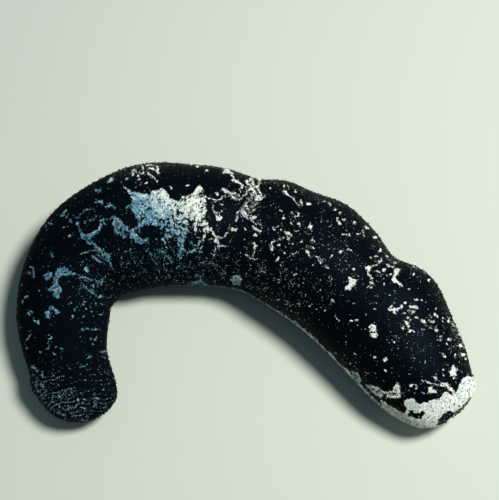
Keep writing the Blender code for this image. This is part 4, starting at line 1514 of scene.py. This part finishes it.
def add_tube_feet(settings):
    """Tube feet under the sole, in three loose bands: short pegs with suckers that touch the floor."""
    rng = np.random.default_rng(FOOT_SEED)
    places = scattered(settings.coat_depth, settings.furrow_depth, STREWN, 1)
    sole = (places.normal[:, 2] < SOLE_FROM) & (places.point[:, 2] < SOLE_REACH)
    bands = 0.5 + 0.5 * np.cos(2 * np.pi * (places.angle - np.pi) / FOOT_BAND)
    kept = sole & (rng.random(len(sole)) < FOOT_BAND_SHARE + (1 - FOOT_BAND_SHARE) * bands**2)
    kept = np.flatnonzero(kept)
    places = places.chosen(kept[one_to_a_cell(places.point[kept], FOOT_ROOM)])
    floor = places.point * (1, 1, 0)
    down = np.tile((0.0, 0.0, -1.0), (len(floor), 1))
    profile = np.repeat((np.array(FOOT_PROFILE) * MM)[None], len(floor), axis=0)
    profile[:, -2:, 0] = places.point[:, 2:] + FOOT_ROOT_DEPTH
    profile *= (-1, 1)  # heights are over the floor, against the way down
    profile[..., 1] *= rng.uniform(*FOOT_SCALES, (len(floor), 1))
    shape, disc_places = turned_copies(floor, down, profile, FOOT_SIDES, rng)
    triangles = turned_triangles(len(FOOT_PROFILE) - 2, FOOT_SIDES)[0]
    add_copies("tube_feet", shape, triangles, disc_places, places, "tube_feet", sucker_skin(settings), True)


def lobed_rings(centre, profile, lobes, sides):
    """Rings of points round an upright axis, clockwise from above.

    The radius is the ring's own, times 1 + depth * (cos(lobes * t) + third wave * cos(3 * lobes * t)).
    """
    turn = np.linspace(0, 2 * np.pi, sides, endpoint=False)
    wave = np.cos(lobes * turn) + THIRD_WAVE * np.cos(3 * lobes * turn)
    radius = profile[:, 1:2] * (1 + profile[:, 2:3] * wave)
    level = np.broadcast_to(profile[:, :1], radius.shape)
    return np.stack([radius * np.cos(turn), -radius * np.sin(turn), level], -1) + centre


def add_tentacles(settings):
    """A puckered oral disc round the mouth, and two rings of ten tentacles with lobed shields."""
    centre = plan_place(np.array(MOUTH_AT))[0]
    profile = np.array(ORAL_DISC) * (MM, MM, 1)
    rings = lobed_rings(centre, profile[1:-1], DISC_PUCKERS, DISC_SIDES)
    poles = centre + profile[[0, -1], :1] * (0, 0, 1)
    points = [np.concatenate([poles[:1], rings.reshape(-1, 3), poles[1:]])]
    triangles = [turned_triangles(len(rings), DISC_SIDES)[0]]
    shield = np.array(SHIELD) * (MM, 1, 1)
    turn = np.arange(TENTACLES_PER_RING) * 2 * np.pi / TENTACLES_PER_RING
    for number, (root_radius, tip_radius, shield_radius) in enumerate(TENTACLE_RINGS):
        for angle in turn + number * np.pi / TENTACLES_PER_RING:
            ahead = np.array((math.cos(angle), math.sin(angle), 0.0))
            profile = shield * (1, shield_radius, 1)
            profile[-len(STALK_SWELL) :, 1] = STALK_RADIUS * np.array(STALK_SWELL)
            rings = lobed_rings(centre, profile[1:-1], SHIELD_LOBES, SHIELD_SIDES)
            share = (profile[:, 0] - profile[0, 0]) / (profile[-1, 0] - profile[0, 0])
            lean = tip_radius + (root_radius - tip_radius) * share
            rings = rings + lean[1:-1, None, None] * ahead
            poles = centre + profile[[0, -1], :1] * (0, 0, 1) + lean[[0, -1], None] * ahead
            points.append(np.concatenate([poles[:1], rings.reshape(-1, 3), poles[1:]]))
            triangles.append(turned_triangles(len(rings), SHIELD_SIDES)[0])
    starts = np.cumsum([0, *map(len, points[:-1])])
    triangles = np.concatenate([part + start for part, start in zip(triangles, starts)])
    points = np.concatenate(points)
    flat = (points[:, :2] - centre[:2]) / CROWN_MAP_WIDTH + 0.5
    crown = add_piece("tentacles", points, triangles, flat[triangles], "tentacles", tentacle_skin(settings))
    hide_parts(CROWN_NODE)


# Materials


def add_node(tree, kind, inputs=None, **settings):
    """Adds a node, with its settings, and its inputs as values or as links from other nodes' sockets."""
    node = tree.nodes.new(kind)
    for name, value in settings.items():
        setattr(node, name, value)
    for name, value in (inputs or {}).items():
        if isinstance(value, bpy.types.NodeSocket):
            tree.links.new(value, node.inputs[name])
        else:
            node.inputs[name].default_value = value
    return node


def new_material(name):
    """A material with a Principled shader, its node tree, and the shader."""
    material = bpy.data.materials.new(name)
    material.use_nodes = True
    return material, material.node_tree, material.node_tree.nodes["Principled BSDF"]


def per_metre(size_in_mm):
    """The scale of a texture whose features are that many millimetres across."""
    return 1000 / size_in_mm


# A colour mix has sockets of the same names for numbers and vectors, so these are the colours' numbers
FACTOR = 0
FIRST = 6
SECOND = 7
COLOUR = 2
# The skin's noises of blotches, speckle, grey silt and wrinkles: size in mm, detail and roughness
SKIN_NOISES = ((9, 3, 0.55), (0.7, 3, 0.7), (2.5, 4, 0.65), (1.4, 4, 0.6))
SHEEN_COLOUR = "#a8e0ff"


@functools.cache
def body_wall(settings):
    """Wet collagen skin, grown, wrinkled and pitted, under films of silt.

    To the eye it is near black, with a dull bluish sheen. The finely wrinkled arm of the mouth end,
    where the silt film and the sand are painted darker and blue-grey as shade, is the dullest.
    """
    material, tree, shader = new_material("wet_wrinkled_body_wall")
    place = add_node(tree, "ShaderNodeTexCoord").outputs["Object"]
    noises = []
    for size, detail, rough in SKIN_NOISES:
        inputs = {"Vector": place, "Scale": per_metre(size), "Detail": detail, "Roughness": rough}
        noises.append(add_node(tree, "ShaderNodeTexNoise", inputs).outputs["Fac"])
    blotches, speckle, grey, wrinkles = noises
    # Painted shade: the silt's warmth is low where the mouth end's arm is painted in shade
    silt, painted_warmth = (
        add_node(tree, "ShaderNodeAttribute", attribute_name=name).outputs["Fac"]
        for name in ("silt", "silt_creaminess")
    )
    sum_of = add_node(tree, "ShaderNodeMath", {0: speckle, 1: silt}, operation="ADD").outputs[0]
    inputs = {"Value": sum_of, "From Min": 0.8, "From Max": 1.25}
    film = add_node(tree, "ShaderNodeMapRange", inputs).outputs[0]
    # The third mix is the silt painted in the blue hue of shade
    flesh, cream, cold = (
        add_node(tree, "ShaderNodeMix", {FACTOR: factor, FIRST: first, SECOND: second}, data_type="RGBA")
        for factor, first, second in (
            (blotches, settings.skin_colour, settings.blotch_colour),
            (grey, settings.pale_silt_colour, settings.silt_colour),
            (grey, settings.silt_colour, settings.shade_colour),
        )
    )
    # Painted shade: on the mouth end's arm the film takes the blue, shaded silt
    inputs = {FACTOR: painted_warmth, FIRST: cold.outputs[COLOUR], SECOND: cream.outputs[COLOUR]}
    tint = add_node(tree, "ShaderNodeMix", inputs, data_type="RGBA")
    inputs = {FACTOR: film, FIRST: flesh.outputs[COLOUR], SECOND: tint.outputs[COLOUR]}
    silted = add_node(tree, "ShaderNodeMix", inputs, data_type="RGBA")
    tree.links.new(silted.outputs[COLOUR], shader.inputs["Base Color"])
    dull = add_node(tree, "ShaderNodeMapRange", {"Value": painted_warmth, "To Min": 0.8, "To Max": 0.5}).outputs[0]
    roughness = add_node(tree, "ShaderNodeMapRange", {"Value": film, "To Min": dull, "To Max": 0.95})
    tree.links.new(roughness.outputs[0], shader.inputs["Roughness"])
    shader.inputs["Specular IOR Level"].default_value = 0.03
    shader.inputs["Specular Tint"].default_value = linear(SHEEN_COLOUR)
    pits = add_node(tree, "ShaderNodeTexVoronoi", {"Vector": place, "Scale": per_metre(0.8)})
    inputs = {"Strength": 0.7, "Distance": 0.25 * MM, "Height": wrinkles}
    wrinkled = add_node(tree, "ShaderNodeBump", inputs).outputs["Normal"]
    pits = pits.outputs["Distance"]
    inputs = {"Strength": 0.4, "Distance": 0.12 * MM, "Height": pits, "Normal": wrinkled}
    pitted = add_node(tree, "ShaderNodeBump", inputs).outputs["Normal"]
    tree.links.new(pitted, shader.inputs["Normal"])
    return material


@functools.cache
def tentacle_skin(settings):
    """Soft wet tissue, grown in folds.

    To the eye it is near black with a brown cast, smoother and glossier than the body wall.
    """
    material, tree, shader = new_material("soft_wet_tentacle_tissue")
    place = add_node(tree, "ShaderNodeTexCoord").outputs["Object"]
    inputs = {"Vector": place, "Scale": per_metre(1.5), "Detail": 3}
    patches = add_node(tree, "ShaderNodeTexNoise", inputs).outputs["Fac"]
    inputs = {FACTOR: patches, FIRST: settings.skin_colour, SECOND: settings.tentacle_colour}
    tint = add_node(tree, "ShaderNodeMix", inputs, data_type="RGBA")
    tree.links.new(tint.outputs[COLOUR], shader.inputs["Base Color"])
    nodules = add_node(tree, "ShaderNodeTexVoronoi", {"Vector": place, "Scale": per_metre(0.35)})
    inputs = {"Strength": 0.5, "Distance": 0.08 * MM, "Height": nodules.outputs["Distance"]}
    bump = add_node(tree, "ShaderNodeBump", inputs)
    tree.links.new(bump.outputs["Normal"], shader.inputs["Normal"])
    shader.inputs["Roughness"].default_value = 0.4
    shader.inputs["Specular IOR Level"].default_value = 0.3
    return material


@functools.cache
def sucker_skin(settings):
    """Soft muscle in a thin dark skin: brown stalks that end in paler, greyish suckers."""
    material, tree, shader = new_material("soft_muscle_tube_feet")
    place = add_node(tree, "ShaderNodeTexCoord").outputs["Object"]
    height = add_node(tree, "ShaderNodeSeparateXYZ", {"Vector": place}).outputs["Z"]
    inputs = {"Value": height, "From Min": 0.15 * MM, "From Max": 0.4 * MM, "To Min": 1, "To Max": 0}
    sucker = add_node(tree, "ShaderNodeMapRange", inputs).outputs[0]
    inputs = {"Vector": place, "Scale": per_metre(0.8), "Detail": 2}
    mottled = add_node(tree, "ShaderNodeTexNoise", inputs).outputs["Fac"]
    inputs = {FACTOR: mottled, FIRST: settings.tentacle_colour, SECOND: settings.foot_colour}
    stalk = add_node(tree, "ShaderNodeMix", inputs, data_type="RGBA").outputs[COLOUR]
    inputs = {FACTOR: sucker, FIRST: stalk, SECOND: settings.sucker_colour}
    tint = add_node(tree, "ShaderNodeMix", inputs, data_type="RGBA")
    tree.links.new(tint.outputs[COLOUR], shader.inputs["Base Color"])
    shader.inputs["Roughness"].default_value = 0.5
    shader.inputs["Specular IOR Level"].default_value = 0.3
    return material


@functools.cache
def coral_sand(settings):
    """Coral sand, broken and wave-worn, each grain its own shade: to the eye matt, chalky and pale.

    A grain's tone picks its colour on a ramp. Grains by the mouth end have a blue tint of painted shade,
    and fine flecks darken all of them a little.
    """
    material, tree, shader = new_material("wave_worn_coral_sand")
    tone, painted_warmth = (
        add_node(tree, "ShaderNodeAttribute", attribute_name=name).outputs["Fac"]
        for name in ("grain_tone", "grain_creaminess")
    )
    ramp = add_node(tree, "ShaderNodeValToRGB", {"Fac": tone})
    # The dark, blue-grey end of the ramp serves both grains of dark tone and the painted shade of the mouth
    # end's arm
    ramp.color_ramp.elements[0].color = settings.dark_grain_colour
    ramp.color_ramp.elements[1].color = settings.white_grain_colour
    ramp.color_ramp.elements.new(GREY_TONE).color = settings.grey_grain_colour
    ramp.color_ramp.elements.new(PALE_TONE).color = settings.grain_colour
    ramp.color_ramp.elements.new(PALEST_TONE).color = settings.pale_grain_colour
    # Painted shade: a blue tint over the grains by the mouth end
    inputs = {FACTOR: painted_warmth, FIRST: settings.cold_tint, SECOND: (1.0, 1.0, 1.0, 1.0)}
    tint = add_node(tree, "ShaderNodeMix", inputs, data_type="RGBA").outputs[COLOUR]
    place = add_node(tree, "ShaderNodeTexCoord").outputs["Object"]
    inputs = {"Vector": place, "Scale": per_metre(0.35), "Detail": 2, "Roughness": 0.6}
    flecks = add_node(tree, "ShaderNodeTexNoise", inputs).outputs["Fac"]
    inputs = {"Value": flecks, "To Min": 0.75, "To Max": 1.1}
    shaded = add_node(tree, "ShaderNodeMapRange", inputs).outputs[0]
    colour = ramp.outputs["Color"]
    for layer in (tint, shaded):
        inputs = {FACTOR: 1, FIRST: colour, SECOND: layer}
        product = add_node(tree, "ShaderNodeMix", inputs, data_type="RGBA", blend_type="MULTIPLY")
        colour = product.outputs[COLOUR]
    tree.links.new(colour, shader.inputs["Base Color"])
    shader.inputs["Roughness"].default_value = 0.9
    shader.inputs["Specular IOR Level"].default_value = 0.2
    return material


# The add-on's settings, operators and panel


def colour_setting(name, description, hex_colour):
    """A colour that can be set, with its first value as sRGB hex."""
    return FloatVectorProperty(
        name=name, description=description, default=linear(hex_colour), size=4, subtype="COLOR"
    )


class CUCUMBER_PG_body(bpy.types.PropertyGroup):
    """Sizes and colours of the skin and the sand on it."""

    coat_depth: FloatProperty(
        name="Coat depth",
        description="How far the skin lies inside the solids, to leave room for what lies on it",
        default=0.2 * MM,
        unit="LENGTH",
    )
    furrow_depth: FloatProperty(
        name="Furrow depth",
        description="Depth of the deepest ring furrows",
        default=0.65 * MM,
        unit="LENGTH",
    )
    grain_scale: FloatProperty(
        name="Grain scale",
        description="Size of the grains of sand, as a share of life size",
        default=1.0,
        min=0.5,
    )
    skin_colour: colour_setting("Skin", "The skin's black", "#010406")
    blotch_colour: colour_setting("Blotches", "Softer blotches in the skin", "#03060a")
    silt_colour: colour_setting("Silt", "The film of silt", "#6a8a95")
    shade_colour: colour_setting("Shaded silt", "Darker silt", "#254b60")
    pale_silt_colour: colour_setting("Pale silt", "Cream silt", "#b3bcaf")
    # Dark and grey-blue grains vary at random, and also paint the shade on the mouth end's arm
    dark_grain_colour: colour_setting("Dark grains", "The darkest grains", "#275e72")
    grey_grain_colour: colour_setting("Grey grains", "Grey-blue grains", "#85afb5")
    grain_colour: colour_setting("Grains", "Pale grains", "#d7d9cb")
    pale_grain_colour: colour_setting("Palest grains", "The palest grains", "#f0efe0")
    white_grain_colour: colour_setting("White grains", "Bleached grains", "#f8faf0")
    # Painted shade: the blue tint of the grains on the mouth end's arm
    cold_tint: colour_setting("Cold tint", "Tint of the grains by the mouth end", "#dbf1ff")
    tentacle_colour: colour_setting("Tentacles", "The brown of the tentacles", "#1c1512")
    foot_colour: colour_setting("Tube feet", "The tube feet's stalks", "#33271f")
    sucker_colour: colour_setting("Suckers", "The tube feet's suckers", "#6e6154")


class CUCUMBER_OT_skin(bpy.types.Operator):
    """Builds the one skin that stands for the five lengths of the body"""

    bl_idname = "cucumber.skin"
    bl_label = "Skin"

    def execute(self, context):
        add_skin(context.scene.cucumber_body)
        return {"FINISHED"}


class CUCUMBER_OT_sand(bpy.types.Operator):
    """Lays the grains of sand on the skin, in patches, webs, a cap, a hem and specks"""

    bl_idname = "cucumber.sand"
    bl_label = "Sand"

    def execute(self, context):
        add_sand(context.scene.cucumber_body)
        add_specks(context.scene.cucumber_body)
        return {"FINISHED"}


class CUCUMBER_OT_papillae(bpy.types.Operator):
    """Sets the small papillae on the back and flanks"""

    bl_idname = "cucumber.papillae"
    bl_label = "Papillae"

    def execute(self, context):
        add_papillae(context.scene.cucumber_body)
        return {"FINISHED"}


class CUCUMBER_OT_tube_feet(bpy.types.Operator):
    """Sets the tube feet under the sole"""

    bl_idname = "cucumber.tube_feet"
    bl_label = "Tube Feet"

    def execute(self, context):
        add_tube_feet(context.scene.cucumber_body)
        return {"FINISHED"}


class CUCUMBER_OT_tentacles(bpy.types.Operator):
    """Builds the oral disc and its twenty tentacles"""

    bl_idname = "cucumber.tentacles"
    bl_label = "Tentacles"

    def execute(self, context):
        add_tentacles(context.scene.cucumber_body)
        return {"FINISHED"}


class CUCUMBER_OT_stage(bpy.types.Operator):
    """Sets up the plain floor, the soft light and the camera"""

    bl_idname = "cucumber.stage"
    bl_label = "Stage"

    def execute(self, context):
        set_stage(context.scene)
        return {"FINISHED"}


class CUCUMBER_PT_panel(bpy.types.Panel):
    """Lists the steps that build the sea cucumber"""

    bl_label = "Sea Cucumber"
    bl_space_type = "VIEW_3D"
    bl_region_type = "UI"
    bl_category = "Sea Cucumber"

    def draw(self, context):
        for operator in OPERATORS:
            self.layout.operator(operator.bl_idname)
        for name in CUCUMBER_PG_body.__annotations__:
            self.layout.prop(context.scene.cucumber_body, name)


OPERATORS = (
    CUCUMBER_OT_skin,
    CUCUMBER_OT_papillae,
    CUCUMBER_OT_tube_feet,
    CUCUMBER_OT_tentacles,
    CUCUMBER_OT_sand,
    CUCUMBER_OT_stage,
)


def set_stage(scene):
    """A plain pale floor, a soft key light from the upper right, a pale world, and the camera."""
    mesh = bpy.data.meshes.new("floor")
    corners = np.array([(-1, -1, 0), (1, -1, 0), (1, 1, 0), (-1, 1, 0)]) * FLOOR_HALF_WIDTH
    mesh.from_pydata(corners, [], [(0, 1, 2, 3)])
    floor = bpy.data.objects.new("floor", mesh)
    scene.collection.objects.link(floor)
    material, _, shader = new_material("matt_studio_floor")
    shader.inputs["Base Color"].default_value = linear(FLOOR_COLOUR)
    shader.inputs["Roughness"].default_value = 0.9
    mesh.materials.append(material)

    world = bpy.data.worlds.new("soft_daylight")
    world.use_nodes = True
    sky = world.node_tree.nodes["Background"]
    sky.inputs["Color"].default_value = linear(SKY_COLOUR)
    sky.inputs["Strength"].default_value = SKY_STRENGTH
    scene.world = world
    light = bpy.data.lights.new("key", "AREA")
    light.shape = "DISK"
    light.size = KEY_WIDTH
    light.energy = KEY_POWER
    key = bpy.data.objects.new("key", light)
    way = Vector(KEY_WAY).normalized()
    turned = way.to_track_quat("Z", "Y").to_matrix().to_4x4()
    key.matrix_world = Matrix.Translation(way * KEY_DISTANCE) @ turned
    scene.collection.objects.link(key)

    lens = bpy.data.cameras.new("camera")
    lens.lens = CAMERA_LENS
    lens.sensor_width = CAMERA_SENSOR
    lens.sensor_fit = "HORIZONTAL"
    camera = bpy.data.objects.new("camera", lens)
    turned = Matrix((CAMERA_RIGHT, CAMERA_UP, -CAMERA_AHEAD)).transposed().to_4x4()
    camera.matrix_world = Matrix.Translation(Vector(CAMERA_PLACE)) @ turned
    scene.collection.objects.link(camera)
    scene.camera = camera
    scene.view_settings.view_transform = "Standard"


CLASSES = (CUCUMBER_PG_body, *OPERATORS, CUCUMBER_PT_panel)


def register():
    """Adds the classes to the program and the settings to its scenes."""
    for cls in CLASSES:
        bpy.utils.register_class(cls)
    bpy.types.Scene.cucumber_body = PointerProperty(type=CUCUMBER_PG_body)


def unregister():
    """Takes the settings and the classes out again."""
    del bpy.types.Scene.cucumber_body
    for cls in reversed(CLASSES):
        bpy.utils.unregister_class(cls)


def main():
    """Registers the add-on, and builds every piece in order."""
    register()
    bpy.ops.cucumber.skin()
    bpy.ops.cucumber.papillae()
    bpy.ops.cucumber.tube_feet()
    bpy.ops.cucumber.tentacles()
    bpy.ops.cucumber.sand()
    bpy.ops.cucumber.stage()


if __name__ == "__main__":
    main()
